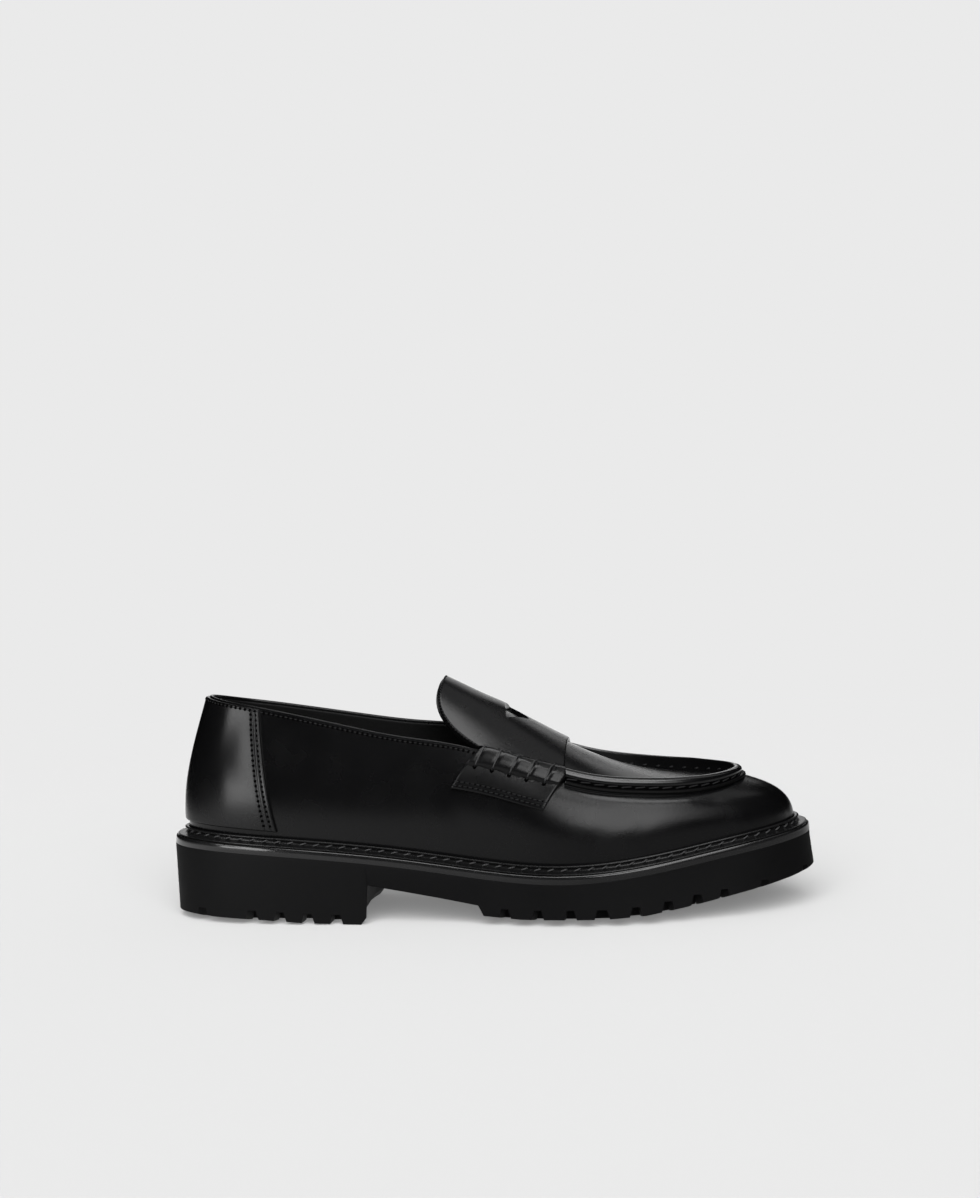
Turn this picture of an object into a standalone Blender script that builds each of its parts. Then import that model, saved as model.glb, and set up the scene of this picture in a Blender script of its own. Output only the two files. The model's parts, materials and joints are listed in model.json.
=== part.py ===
"""A right-foot penny loafer: raised apron seam, slotted saddle, storm welt and lugged sole.

+X points to the toe, +Y to the inner side of the foot and +Z up, with the origin on the
floor under the middle of the shoe. Lengths are in millimetres until a mesh is made.
"""

import math
from collections import namedtuple

import bmesh
import bpy
import numpy as np

MM = 0.001

# Driving dimensions
SOLE_LENGTH = 306.0
BALL_WIDTH = 107.0
INSTEP_HEIGHT = 112.0
WALL = 2.0
GAP = 0.35

# Sole and welt
LEDGE = 7.3
MIDSOLE = 4.0
RIM_ROUND = 1.3
WELT_SET_BACK = 1.4
INSOLE = 3.2
LUG_DEPTH = 4.2
LUG_MOUTH = 5.4
LUG_ROOT = 2.8
LUG_REACH = 14.0
CHANNEL_WIDTH = 3.6
FORE_LUG_PITCH = 15.5
HEEL_LUG_PITCH = 13.6

# Pieces laid over the upper
RIDGE_WIDTH = 3.4
RIDGE_HEIGHT = 6.0
RIDGE_TOE_HEIGHT = 4.0
SADDLE = 1.8
ROLL_HEIGHT = 3.0
ROLL_HALF_WIDTH = 5.2
COUNTER = 1.3
SLOT_WIDTH = 25.0
SLOT_LENGTH = 13.0
SLOT_SWEEP = 1.8
SLOT_BACK_X = 8.5
SLOT_MIDDLE_Y = -1.7
SLOT_ROUND = 1.6

# Stations run from the heel's back, 0, to the toe tip, 10, along both sides of the foot.
# x is in percent of the sole's length from its middle, out and inn (the outer and inner
# side) are in percent of the ball's width, and z is in percent of the instep's height.
# rim is the sole's upper edge, and top is the collar back to front, then the apron's seam.
# foot and apex give the wall's lean from upright, in degrees, at its foot (outwards) and
# at its top (inwards), and the pull of each end on the wall's curve.
Station = namedtuple(
    "Station",
    "rim_x rim_out rim_inn rim_z top_x top_out top_inn z_out z_inn foot_lean foot_pull apex_lean apex_pull",
)
STATIONS = [
    Station(-49.9, -3.0, -3.0, 35.0, -43.4, -3.0, -3.0, 94.6, 94.6, 7, 0.35, 17, 0.35),
    Station(-45.2, -25.0, 18.9, 35.0, -40.2, -19.9, 14.3, 93.8, 91.3, 10, 0.35, 15, 0.35),
    Station(-35.6, -34.8, 28.7, 33.6, -33.7, -26.4, 20.8, 90.9, 87.9, 12, 0.35, 11, 0.35),
    Station(-23.2, -37.6, 31.0, 30.8, -22.2, -30.0, 24.7, 84.1, 82.3, 13, 0.35, 9, 0.35),
    Station(-11.1, -39.9, 32.4, 27.1, -11.4, -32.5, 27.8, 78.0, 77.7, 13, 0.36, 12, 0.35),
    Station(0.7, -44.1, 37.1, 22.9, -1.3, -35.2, 31.2, 72.1, 72.8, 11, 0.38, 24, 0.36),
    Station(12.4, -49.7, 45.0, 21.3, 12.3, -37.0, 33.9, 58.3, 59.4, 9, 0.40, 40, 0.40),
    Station(24.2, -47.4, 49.3, 24.1, 23.5, -32.5, 32.9, 52.7, 53.6, 8, 0.46, 54, 0.44),
    Station(35.0, -38.5, 45.0, 28.8, 31.7, -25.5, 26.9, 51.8, 52.5, 7, 0.52, 62, 0.52),
    Station(44.5, -25.4, 28.7, 32.6, 37.1, -12.9, 15.7, 53.2, 53.4, 5, 0.66, 70, 0.64),
    Station(49.5, 0.7, 0.7, 34.2, 38.9, 1.3, 1.3, 54.5, 54.5, 4, 0.64, 72, 0.72),
]
TOE = len(STATIONS) - 1
LOOP = 2 * TOE
THROAT = 5.0
STRAP_FRONT = 6.0

# The apron and tongue, from the throat to the toe: crown is its rise over the seam in
# percent of the instep's height, bow is how far its middle lies behind its ends, in mm.
Apron = namedtuple("Apron", "crown bow")
APRONS = [
    Apron(25.9, 15.5),
    Apron(10.7, 0.0),
    Apron(3.8, 0.0),
    Apron(1.6, 0.0),
    Apron(0.6, 0.0),
    Apron(0.0, 0.0),
]

# Sections of the outsole's underside: floor is the height of its middle, camber is how
# much its edges lift, bow moves the middle back and flare moves its edge out, in mm.
Tread = namedtuple("Tread", "station floor camber bow flare")
TREADS = [
    Tread(0.00, 3.4, 0.0, 0.0, -0.6),
    Tread(0.15, 3.2, 0.1, 0.0, -0.6),
    Tread(0.40, 2.6, 0.7, 0.0, -0.8),
    Tread(0.75, 1.8, 1.7, 0.0, -1.0),
    Tread(1.20, 0.8, 2.7, 0.0, -1.2),
    Tread(1.70, 0.0, 3.1, 0.0, -1.5),
    Tread(2.10, 0.0, 2.3, 0.0, -1.8),
    Tread(2.60, 0.0, 0.9, 0.0, -2.0),
    Tread(3.31, 0.0, 0.1, 4.0, -2.0),
    Tread(3.38, 3.4, 0.0, 4.0, -2.0),
    Tread(3.41, 18.7, 0.0, 4.0, -1.6),
    Tread(3.76, 16.5, 0.0, 2.0, -1.4),
    Tread(4.30, 13.1, 0.0, 0.0, -1.2),
    Tread(4.84, 9.6, 0.0, 0.0, -0.8),
    Tread(4.91, 1.4, 3.4, 0.0, -0.6),
    Tread(5.40, 0.0, 3.6, 0.0, 0.0),
    Tread(6.00, 0.0, 3.7, 0.0, 0.0),
    Tread(6.50, 0.0, 3.8, 0.0, 0.4),
    Tread(7.00, 1.0, 3.8, 0.0, 0.8),
    Tread(7.50, 3.4, 4.2, 0.0, 1.2),
    Tread(8.00, 6.5, 4.1, 0.0, 1.6),
    Tread(8.50, 9.8, 3.6, 0.0, 1.6),
    Tread(9.00, 13.2, 2.8, 0.0, 1.6),
    Tread(9.40, 15.8, 1.8, 0.0, 1.6),
    Tread(9.75, 17.8, 0.7, 0.0, 1.6),
    Tread(10.0, 18.6, 0.0, 0.0, 1.6),
]

# How the meshes are divided
HEEL_STEPS = np.arange(0.0, 2.0, 0.2)
SIDE_STEPS = np.arange(2.0, THROAT, 0.3)
APRON_STEPS = np.arange(THROAT, 9.0, 0.25)
TOE_STEPS = np.arange(9.0, TOE + 0.01, 0.2)
COLUMNS = np.concatenate([HEEL_STEPS, SIDE_STEPS, APRON_STEPS, TOE_STEPS])
WALL_ROWS = np.linspace(0.0, 1.0, 9)
HALF_ACROSS = np.array([0.25, 0.5, 0.68, 0.82, 0.9, 0.95, 1.0])
ACROSS = np.concatenate([-HALF_ACROSS[::-1], [0.0], HALF_ACROSS])


class Spline:
    """A smooth curve through evenly spaced values, closed on itself or with free ends."""

    def __init__(self, values, closed=False):
        self.values = np.asarray(values, float)
        self.closed = closed
        count = len(self.values)
        unit = np.eye(count)
        before, after = np.roll(self.values, 1), np.roll(self.values, -1)
        bends = 6 * (before - 2 * self.values + after)
        matrix = 4 * unit + np.roll(unit, 1, axis=0) + np.roll(unit, -1, axis=0)
        if not closed:
            matrix[[0, -1]] = unit[[0, -1]]
            bends[[0, -1]] = 0
        self.bends = np.linalg.solve(matrix, bends)

    def __call__(self, at):
        count = len(self.values)
        at = np.asarray(at, float)
        at = at % count if self.closed else np.clip(at, 0, count - 1)
        low = np.minimum(np.floor(at).astype(int), count - 1 if self.closed else count - 2)
        high = (low + 1) % count
        b = at - low
        a = 1 - b
        straight = a * self.values[low] + b * self.values[high]
        return straight + ((a**3 - a) * self.bends[low] + (b**3 - b) * self.bends[high]) / 6


def around(outer, inner=None):
    """A closed spline round the shoe: the outer side heel to toe, then the inner side back."""
    out = [getattr(row, outer) for row in STATIONS]
    inn = [getattr(row, inner or outer) for row in STATIONS]
    return Spline(out + inn[-2:0:-1], closed=True)


LENGTH_PER_CENT = SOLE_LENGTH / 100
WIDTH_PER_CENT = BALL_WIDTH / 100
HEIGHT_PER_CENT = INSTEP_HEIGHT / 100
RIM_X, RIM_Y, RIM_Z = around("rim_x"), around("rim_out", "rim_inn"), around("rim_z")
TOP_X, TOP_Y, TOP_Z = around("top_x"), around("top_out", "top_inn"), around("z_out", "z_inn")
FOOT_LEAN, FOOT_PULL = around("foot_lean"), around("foot_pull")
APEX_LEAN, APEX_PULL = around("apex_lean"), around("apex_pull")
CROWN = Spline([row.crown * HEIGHT_PER_CENT for row in APRONS])
BOW = Spline([row.bow for row in APRONS])


def rim(at, outwards=0.0):
    """The sole's edge in plan at a place on the loop, moved outwards, as x and y."""
    step = 1e-3
    x, y = RIM_X(at) * LENGTH_PER_CENT, RIM_Y(at) * WIDTH_PER_CENT
    inward = rim_inward(at, step)
    return np.stack([x, y], -1) - inward * np.asarray(outwards)[..., None]


def rim_inward(at, step=1e-3):
    """The unit vector in plan from the sole's edge towards the inside of the shoe."""
    along_x = (RIM_X(at + step) - RIM_X(at - step)) * LENGTH_PER_CENT
    along_y = (RIM_Y(at + step) - RIM_Y(at - step)) * WIDTH_PER_CENT
    inward = np.stack([-along_y, along_x], -1)
    return inward / np.linalg.norm(inward, axis=-1, keepdims=True)


def sole_top(x):
    """The height of the midsole's upper face, which is level from side to side."""
    at = np.linspace(0, TOE, 400)
    return np.interp(x, RIM_X(at) * LENGTH_PER_CENT, RIM_Z(at) * HEIGHT_PER_CENT)


def wall(at, up):
    """A point on the upper's outer side: at is the place on the loop, up runs 0 to 1."""
    at, up = np.broadcast_arrays(np.asarray(at, float), np.asarray(up, float))
    inward = rim_inward(at)
    along = np.stack([inward[..., 1], -inward[..., 0]], -1)
    foot = rim(at, -LEDGE)
    foot_z = sole_top(foot[..., 0]) + GAP
    top = np.stack([TOP_X(at) * LENGTH_PER_CENT, TOP_Y(at) * WIDTH_PER_CENT], -1)
    height = TOP_Z(at) * HEIGHT_PER_CENT - foot_z
    depth = np.sum((top - foot) * inward, -1)
    shift = np.sum((top - foot) * along, -1)
    lean, pull = np.radians(FOOT_LEAN(at)), FOOT_PULL(at) * height
    apex, draw = np.radians(APEX_LEAN(at)), APEX_PULL(at) * height
    early, late, last = 3 * up * (1 - up) ** 2, 3 * up**2 * (1 - up), up**3
    move_in = early * -np.sin(lean) * pull + late * (depth - np.sin(apex) * draw) + last * depth
    move_up = early * np.cos(lean) * pull + late * (height - np.cos(apex) * draw) + last * height
    plan = foot + inward * move_in[..., None] + along * (shift * up)[..., None]
    return np.concatenate([plan, (foot_z + move_up)[..., None]], -1)


def apron(station, across):
    """A point on the apron or tongue: across runs from -1, the outer seam, to 1, the inner."""
    station, across = np.broadcast_arrays(np.asarray(station, float), np.asarray(across, float))
    outer, inner = wall(station, 1.0), wall(LOOP - station, 1.0)
    share = ((across + 1) / 2)[..., None]
    point = outer * (1 - share) + inner * share
    spread = (1 - across**4) * (1 + 0.5 * across**2)
    point[..., 0] -= BOW(station - THROAT) * spread
    point[..., 2] += CROWN(station - THROAT) * (1 - np.abs(across) ** 2.2)
    return point


def surface_normals(grid):
    """Unit normals of a grid of points, rows by columns, from its own differences."""
    normal = np.cross(np.gradient(grid, axis=1), np.gradient(grid, axis=0))
    return normal / np.linalg.norm(normal, axis=-1, keepdims=True)


def both_sides(stations):
    """Places on the loop: the outer side from heel to toe, then the inner side back."""
    return np.concatenate([stations, LOOP - stations[-2:0:-1]])


def material(name, colour, roughness):
    """A plain surface with the piece's colour and gloss."""
    made = bpy.data.materials.new(name)
    made.use_nodes = True
    shader = made.node_tree.nodes["Principled BSDF"]
    shader.inputs["Base Color"].default_value = (*colour, 1)
    shader.inputs["Roughness"].default_value = roughness
    shader.inputs["Metallic"].default_value = 0.0
    return made


def solid(name, points, faces, finish, mend=True):
    """A named object from points in millimetres, with its faces turned outwards."""
    mesh = bpy.data.meshes.new(name)
    mesh.from_pydata((np.asarray(points, float) * MM).tolist(), [], faces)
    shape = bmesh.new()
    shape.from_mesh(mesh)
    bmesh.ops.remove_doubles(shape, verts=shape.verts, dist=1e-6)
    if mend:
        bmesh.ops.recalc_face_normals(shape, faces=shape.faces)
    shape.to_mesh(mesh)
    shape.free()
    mesh.shade_smooth()
    mesh.set_sharp_from_angle(angle=math.radians(40))
    mesh.materials.append(finish)
    made = bpy.data.objects.new(name, mesh)
    bpy.context.scene.collection.objects.link(made)
    return made


def strip_faces(rows, columns, offset=0, closed=False):
    """Quads of a grid of rows by columns, joined round from last column to first if closed."""
    faces = []
    for row in range(rows - 1):
        for column in range(columns if closed else columns - 1):
            near, far = column, (column + 1) % columns
            low, high = offset + row * columns, offset + (row + 1) * columns
            faces.append((low + near, low + far, high + far, high + near))
    return faces


def sheet_solid(name, inner, outer, finish):
    """A closed piece between two grids of the same rows and columns."""
    rows, columns = inner.shape[:2]
    count = rows * columns
    faces = strip_faces(rows, columns) + strip_faces(rows, columns, count)
    edge = [(0, c) for c in range(columns)] + [(r, columns - 1) for r in range(1, rows)]
    edge += [(rows - 1, c) for c in range(columns - 2, -1, -1)]
    edge += [(r, 0) for r in range(rows - 2, 0, -1)]
    loop = [r * columns + c for r, c in edge]
    for one, two in zip(loop, loop[1:] + loop[:1]):
        faces.append((one, two, two + count, one + count))
    points = np.concatenate([inner.reshape(-1, 3), outer.reshape(-1, 3)])
    return solid(name, points, faces, finish)


def ring_solid(name, sections, finish):
    """A closed ring: sections is places round the loop by points of the section."""
    rows, columns = sections.shape[:2]
    closed = np.concatenate([sections, sections[:1]])
    faces = strip_faces(rows + 1, columns, closed=True)
    return solid(name, closed.reshape(-1, 3), faces, finish)


def bar_solid(name, sections, finish):
    """A closed bar: sections is places along it by points of the section, with flat ends."""
    rows, columns = sections.shape[:2]
    faces = strip_faces(rows, columns, closed=True)
    faces += [tuple(range(columns)), tuple(range((rows - 1) * columns, rows * columns))]
    return solid(name, sections.reshape(-1, 3), faces, finish)


def ladder_faces(count):
    """Faces across a loop of 2 * count - 2 points, rung by rung from heel to toe."""
    size = 2 * count - 2
    return [
        (station, station + 1, (size - station - 1) % size, (size - station) % size)
        for station in range(1, count - 2)
    ] + [(0, 1, size - 1), (count - 2, count - 1, count)]


def plate_solid(name, loops, finish):
    """A closed plate from loops round the shoe, lowest first, capped rung by rung."""
    size = loops[0].shape[0]
    count = size // 2 + 1
    faces = strip_faces(len(loops), size, closed=True)
    last = (len(loops) - 1) * size
    for face in ladder_faces(count):
        faces.append(face)
        faces.append(tuple(last + corner for corner in face))
    return solid(name, np.concatenate(loops), faces, finish)


def sole_loop(at, outwards, rise):
    """A loop round the sole, moved outwards, at a rise over the midsole's upper face."""
    plan = rim(at, np.full(len(at), float(outwards)))
    return np.column_stack([plan, sole_top(plan[:, 0]) + rise])


def make_upper(finish):
    """Vamp, quarters, apron and tongue as one wall, open at the collar and underneath."""
    loop = both_sides(COLUMNS)
    size = len(loop)
    band = wall(loop[None, :], WALL_ROWS[:, None])
    faces = strip_faces(len(WALL_ROWS), size, closed=True)
    points = list(band.reshape(-1, 3))
    top = (len(WALL_ROWS) - 1) * size
    rungs = []
    for index, station in enumerate(COLUMNS):
        if station < THROAT - 1e-6 or index == len(COLUMNS) - 1:
            continue
        start = len(points)
        points.extend(apron(station, ACROSS[1:-1]))
        middle = list(range(start, start + len(ACROSS) - 2))
        rungs.append([top + index] + middle + [top + size - index])
    for back, front in zip(rungs, rungs[1:]):
        for near in range(len(ACROSS) - 1):
            faces.append((back[near], front[near], front[near + 1], back[near + 1]))
    tip = top + len(COLUMNS) - 1
    for near in range(len(ACROSS) - 1):
        faces.append((rungs[-1][near], tip, rungs[-1][near + 1]))
    upper = solid("upper", points, faces, finish, mend=False)
    shell = upper.modifiers.new("wall", "SOLIDIFY")
    shell.thickness = WALL * MM
    shell.offset = -1.0
    return upper


def make_counter(finish):
    """The heel counter, laid over the back of the quarters from seam to seam."""
    ups = np.linspace(0.1, 0.985, 10)
    shares = np.linspace(-1, 1, 27)
    seam = 2.34 - 0.40 * ups**0.8
    base = wall(shares[None, :] * seam[:, None], ups[:, None])
    out = surface_normals(base)
    return sheet_solid("heel_counter", base + out * GAP, base + out * (GAP + COUNTER), finish)


def saddle_base():
    """The face of the upper under the saddle, front to back by outer tab to inner tab."""
    stations = np.linspace(STRAP_FRONT, THROAT, 6)
    ups = np.array([0.63, 0.72, 0.81, 0.88, 0.92, 0.96])
    back = (STRAP_FRONT - stations) / (STRAP_FRONT - THROAT)
    slant = -(0.22 + 0.10 * back)
    drop = ((1 - ups) / (1 - ups[0])) ** 0.6
    tab = stations[:, None] + slant[:, None] * drop[None, :]
    outer = wall(tab, ups[None, :])
    inner = wall(LOOP - tab, ups[None, :])[:, ::-1]
    middle = apron(stations[:, None], ACROSS[None, :])
    return np.concatenate([outer, middle, inner], axis=1), len(ups)


def make_saddle(finish):
    """Strap, tongue facing and side tabs in one, with a roll over each seam and a slot."""
    base, tab_columns = saddle_base()
    out = surface_normals(base)
    steps = np.linalg.norm(np.diff(base, axis=1), axis=-1)
    walked = np.concatenate([np.zeros((len(base), 1)), np.cumsum(steps, axis=1)], axis=1)
    seams = walked[:, [tab_columns, tab_columns + len(ACROSS) - 1]]
    away = np.abs(walked[:, :, None] - seams[:, None, :]).min(axis=-1)
    roll = ROLL_HEIGHT * np.sqrt(np.clip(1 - (away / ROLL_HALF_WIDTH) ** 2, 0, None))
    rise = (GAP + SADDLE + roll)[..., None]
    saddle = sheet_solid("saddle", base + out * GAP, base + out * rise, finish)
    cut(saddle, slot_cutter())
    return saddle


def slot_cutter():
    """The slot's upright prism: a shallow crescent drawn to a point towards the toe."""
    half, front = SLOT_WIDTH / 2, SLOT_BACK_X + SLOT_LENGTH
    end_x, middle = SLOT_BACK_X + SLOT_SWEEP, SLOT_MIDDLE_Y
    corners = [(end_x, middle - half), (front, middle), (end_x, middle + half), (SLOT_BACK_X, middle)]
    plan = []
    for corner, before, after in zip(corners, corners[-1:] + corners[:-1], corners[1:] + corners[:1]):
        for other in (before, after):
            length = math.dist(corner, other)
            share = SLOT_ROUND / length
            plan.append([corner[i] + (other[i] - corner[i]) * share for i in (0, 1)])
    low, high = 60.0, 130.0
    points = [(x, y, low) for x, y in plan] + [(x, y, high) for x, y in plan]
    count = len(plan)
    sides = [(i, (i + 1) % count, (i + 1) % count + count, i + count) for i in range(count)]
    faces = sides + [tuple(range(count)), tuple(range(count, 2 * count))]
    return helper("slot_cutter", points, faces)


def helper(name, points, faces):
    """A cutter, which is left out of the model."""
    made = solid(name, points, faces, bpy.data.materials.new(name))
    made.hide_render = True
    made.display_type = "WIRE"
    return made


def cut(target, cutter):
    """Takes the cutter's shape out of the target."""
    taken = target.modifiers.new(cutter.name, "BOOLEAN")
    taken.operation = "DIFFERENCE"
    taken.solver = "EXACT"
    taken.object = cutter


def seam_inward(at, step=1e-3):
    """The unit vector in plan from the apron's seam towards the middle of the apron."""
    along_x = (TOP_X(at + step) - TOP_X(at - step)) * LENGTH_PER_CENT
    along_y = (TOP_Y(at + step) - TOP_Y(at - step)) * WIDTH_PER_CENT
    inward = np.stack([-along_y, along_x], -1)
    return inward / np.linalg.norm(inward, axis=-1, keepdims=True)


def make_ridge(finish):
    """The standing seam round the apron, from strap front to strap front by way of the toe."""
    stations = COLUMNS[COLUMNS >= STRAP_FRONT - 1e-6]
    at = np.concatenate([stations, LOOP - stations[-2::-1]])
    at[0] += 0.05
    at[-1] -= 0.05
    station = np.minimum(at, LOOP - at)
    seat = wall(at, 1.0)
    inward = np.column_stack([seam_inward(at), np.zeros(len(at))])
    toe_share = np.clip(station - 8.0, 0, 2) / 2
    height = RIDGE_HEIGHT + (RIDGE_TOE_HEIGHT - RIDGE_HEIGHT) * toe_share
    half = RIDGE_WIDTH / 2
    step = 0.02
    slope = np.linalg.norm(seat - wall(at, 1.0 - step), axis=-1) / step
    outer_foot = wall(at, 1.0 - half / slope)
    apron_half = np.abs(TOP_Y(station) - TOP_Y(LOOP - station)) * WIDTH_PER_CENT / 2
    climb = 2.2 * CROWN(station - THROAT) * half / np.maximum(apron_half, 4 * half)
    sections = [seat + up_by(2.0 * GAP), outer_foot + up_by(2.0 * GAP)]
    profile = [(-0.95, 0.55), (-0.9, 0.82), (-0.5, 0.97), (0.0, 1.0), (0.5, 0.97), (0.9, 0.82), (0.95, 0.55)]
    for side, share in profile:
        offset = (side * half + 0.12 * share * height)[:, None] * inward
        sections.append(seat + offset + up_by(share * height))
    sections.append(seat + inward * half + up_by(climb + 2.0 * GAP))
    return bar_solid("apron_ridge", np.stack(sections, axis=1), finish)


def up_by(rise):
    """An upward move of one height or of a row of heights."""
    rise = np.atleast_1d(rise)
    return np.column_stack([np.zeros((len(rise), 2)), rise])


def make_welt(finish):
    """The storm welt: a flat strip on the midsole, a stitched slope and a bead at the upper."""
    at = both_sides(COLUMNS)
    inward = rim_inward(at)
    rises = np.linspace(0, 0.25, 26)
    sides = wall(at[None, :], rises[:, None])
    foot = rim(at, np.full(len(at), -LEDGE))
    bulge = -np.sum((sides[..., :2] - foot[None]) * inward[None], axis=-1)
    climb = sides[..., 2] - sides[:1, :, 2]
    bead = 4.2

    def section_point(from_wall, rise, hug):
        """A point from_wall out of the upper's foot, or out of its side where hug is 1."""
        lean = np.array([np.interp(rise, climb[:, i], bulge[:, i]) for i in range(len(at))])
        out = from_wall + hug * lean
        plan = foot - inward * out[:, None]
        return np.column_stack([plan, sole_top(plan[:, 0]) + GAP + rise])

    edge = LEDGE - WELT_SET_BACK
    shape = [(0.4, 0.0, 1), (0.4, 0.7 * bead, 1), (0.9, bead, 1), (1.7, bead, 1), (2.5, 0.78 * bead, 0.8)]
    shape += [(3.1, 0.5 * bead, 0.3), (edge - 0.7, 0.9, 0), (edge, 0.5, 0), (edge, 0.0, 0)]
    sections = np.stack([section_point(*point) for point in shape], axis=1)
    return ring_solid("welt", sections, finish)


def make_midsole(finish):
    """The layer whose rounded edge shows between the welt and the outsole."""
    at = both_sides(COLUMNS)
    levels = [(-0.4, -MIDSOLE), (0.0, 0.4 - MIDSOLE), (0.0, -RIM_ROUND), (-0.4 * RIM_ROUND, -0.3 * RIM_ROUND)]
    levels.append((-RIM_ROUND, 0.0))
    return plate_solid("midsole", [sole_loop(at, out, rise) for out, rise in levels], finish)


def make_insole(finish):
    """The sock that lines the floor of the shoe inside the upper."""
    at = both_sides(COLUMNS)
    inset = -(LEDGE + WALL + 2 * GAP)
    levels = [(inset, GAP), (inset, GAP + 0.7 * INSOLE), (inset - 1.0, GAP + INSOLE)]
    return plate_solid("insole", [sole_loop(at, out, rise) for out, rise in levels], finish)


def tread_edge(row, side):
    """The lower edge of the outsole at a section, on the outer (-1) or inner (1) side."""
    at = row.station if side < 0 else LOOP - row.station
    x, y = rim(np.array([at]), np.array([row.flare]))[0]
    return np.array([x, y, row.floor + row.camber])


TREAD_ACROSS = np.array([-1.0, -0.78, -0.5, 0.5, 0.78, 1.0])


def tread_row(row):
    """Points across the outsole's underside at one section."""
    outer, inner = tread_edge(row, -1), tread_edge(row, 1)
    share = ((TREAD_ACROSS + 1) / 2)[:, None]
    points = outer * (1 - share) + inner * share
    points[:, 0] -= row.bow * (1 - TREAD_ACROSS**2)
    lift = np.clip((np.abs(TREAD_ACROSS) - 0.5) / 0.5, 0, 1) ** 1.5
    points[:, 2] = row.floor + row.camber * lift
    return points


def outsole_body(finish):
    """Forefoot, waist and heel in one block, with a plain underside."""
    stations = np.array([row.station for row in TREADS])
    at = both_sides(stations)
    upper_loops = [sole_loop(at, -0.5, -(MIDSOLE + GAP)), sole_loop(at, -0.3, -(MIDSOLE + GAP + 2.0))]
    rows = [tread_row(row) for row in TREADS]
    rows[0], rows[-1] = rows[0][:1], rows[-1][:1]
    points = list(np.concatenate(upper_loops))
    size, count, across = len(at), len(TREADS), len(TREAD_ACROSS)
    faces = strip_faces(2, size, closed=True) + ladder_faces(count)
    starts = []
    for row in rows:
        starts.append(len(points))
        points.extend(row)
    edge = [starts[i] for i in range(count)]
    edge += [starts[i] + across - 1 for i in range(count - 2, 0, -1)]
    for one in range(size):
        two = (one + 1) % size
        faces.append((size + one, size + two, edge[two], edge[one]))
    for row in range(1, count - 2):
        for column in range(across - 1):
            back, front = starts[row] + column, starts[row + 1] + column
            faces.append((back, front, front + 1, back + 1))
    for column in range(across - 1):
        faces.append((starts[0], starts[1] + column, starts[1] + column + 1))
        faces.append((starts[-1], starts[-2] + column, starts[-2] + column + 1))
    return solid("outsole", points, faces, finish)


def floor_at(station):
    """The height of the tread's lower edge and of its middle at a station."""
    stations = [row.station for row in TREADS]
    edge = np.interp(station, stations, [row.floor + row.camber for row in TREADS])
    return edge, np.interp(station, stations, [row.floor for row in TREADS])


def prism(plan, low, high):
    """Points and faces of an upright prism with a height for each corner."""
    count = len(plan)
    points = [(x, y, z) for (x, y), z in zip(plan, low)] + [(x, y, z) for (x, y), z in zip(plan, high)]
    sides = [(i, (i + 1) % count, (i + 1) % count + count, i + count) for i in range(count)]
    return points, sides + [tuple(range(count)), tuple(range(count, 2 * count))]


def stations_by_pitch(first, last, pitch):
    """Stations along one side, evenly spaced along the sole's edge."""
    fine = np.linspace(first, last, 300)
    plan = rim(fine)
    walked = np.concatenate([[0], np.cumsum(np.linalg.norm(np.diff(plan, axis=0), axis=1))])
    count = int(walked[-1] // pitch)
    return np.interp(np.arange(count + 1) * walked[-1] / count, walked, fine)


def notch_cutters():
    """Tapered notches cut in from the sole's edge between the lugs."""
    fore = stations_by_pitch(5.25, 9.75, FORE_LUG_PITCH)
    heel = stations_by_pitch(0.75, 2.85, HEEL_LUG_PITCH)
    points, faces = [], []
    for station in np.concatenate([heel, fore]):
        for at in (station, LOOP - station):
            edge = floor_at(station)[0]
            inward = rim_inward(np.array([at]))[0]
            along = np.array([inward[1], -inward[0]])
            start = rim(np.array([at]), np.array([6.0]))[0]
            reach = LUG_REACH + 6.0
            corners = []
            for depth in (0.0, reach):
                for half, z in ((LUG_MOUTH, -6.0), (LUG_ROOT, LUG_DEPTH)):
                    for side in (-0.5, 0.5):
                        plan = start + inward * depth + along * side * half
                        corners.append((*plan, edge + z))
            first = len(points)
            points += corners
            box = [(0, 1, 3, 2), (4, 5, 7, 6), (0, 1, 5, 4), (2, 3, 7, 6), (0, 2, 6, 4), (1, 3, 7, 5)]
            faces += [tuple(first + corner for corner in face) for face in box]
    return helper("notches", points, faces)


def channel_cutter(name, at):
    """A channel along the tread, inside the row of lugs at its edge."""
    near = rim(at, np.full(len(at), 0.7 - LUG_REACH))
    far = rim(at, np.full(len(at), 0.7 - LUG_REACH - CHANNEL_WIDTH))
    middle = floor_at(np.minimum(at, LOOP - at))[1]
    sections = []
    for plan, z in ((near, -6.0), (far, -6.0), (far, LUG_DEPTH), (near, LUG_DEPTH)):
        sections.append(np.column_stack([plan, middle + z]))
    made = bar_solid(name, np.stack(sections, axis=1), bpy.data.materials.new(name))
    made.hide_render = True
    made.display_type = "WIRE"
    return made


def bar_cutters():
    """Cross grooves between the channels, which leave blocks down the middle."""
    points, faces = [], []
    groups = ((5.5, 8.3, 2 * FORE_LUG_PITCH), (1.5, 2.7, 1.5 * HEEL_LUG_PITCH))
    for first, last, pitch in groups:
        for station in stations_by_pitch(first, last, pitch):
            outer = rim(np.array([station]), np.array([-LUG_REACH - 1.5]))[0]
            inner = rim(np.array([LOOP - station]), np.array([-LUG_REACH - 1.5]))[0]
            z = floor_at(station)[1]
            half = CHANNEL_WIDTH / 2
            plan = [(outer[0] - half, outer[1]), (outer[0] + half, outer[1])]
            plan += [(inner[0] + half, inner[1]), (inner[0] - half, inner[1])]
            corners, sides = prism(plan, [z - 6.0] * 4, [z + LUG_DEPTH - 0.6] * 4)
            start = len(points)
            points += corners
            faces += [tuple(start + corner for corner in face) for face in sides]
    return helper("cross_grooves", points, faces)


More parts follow.
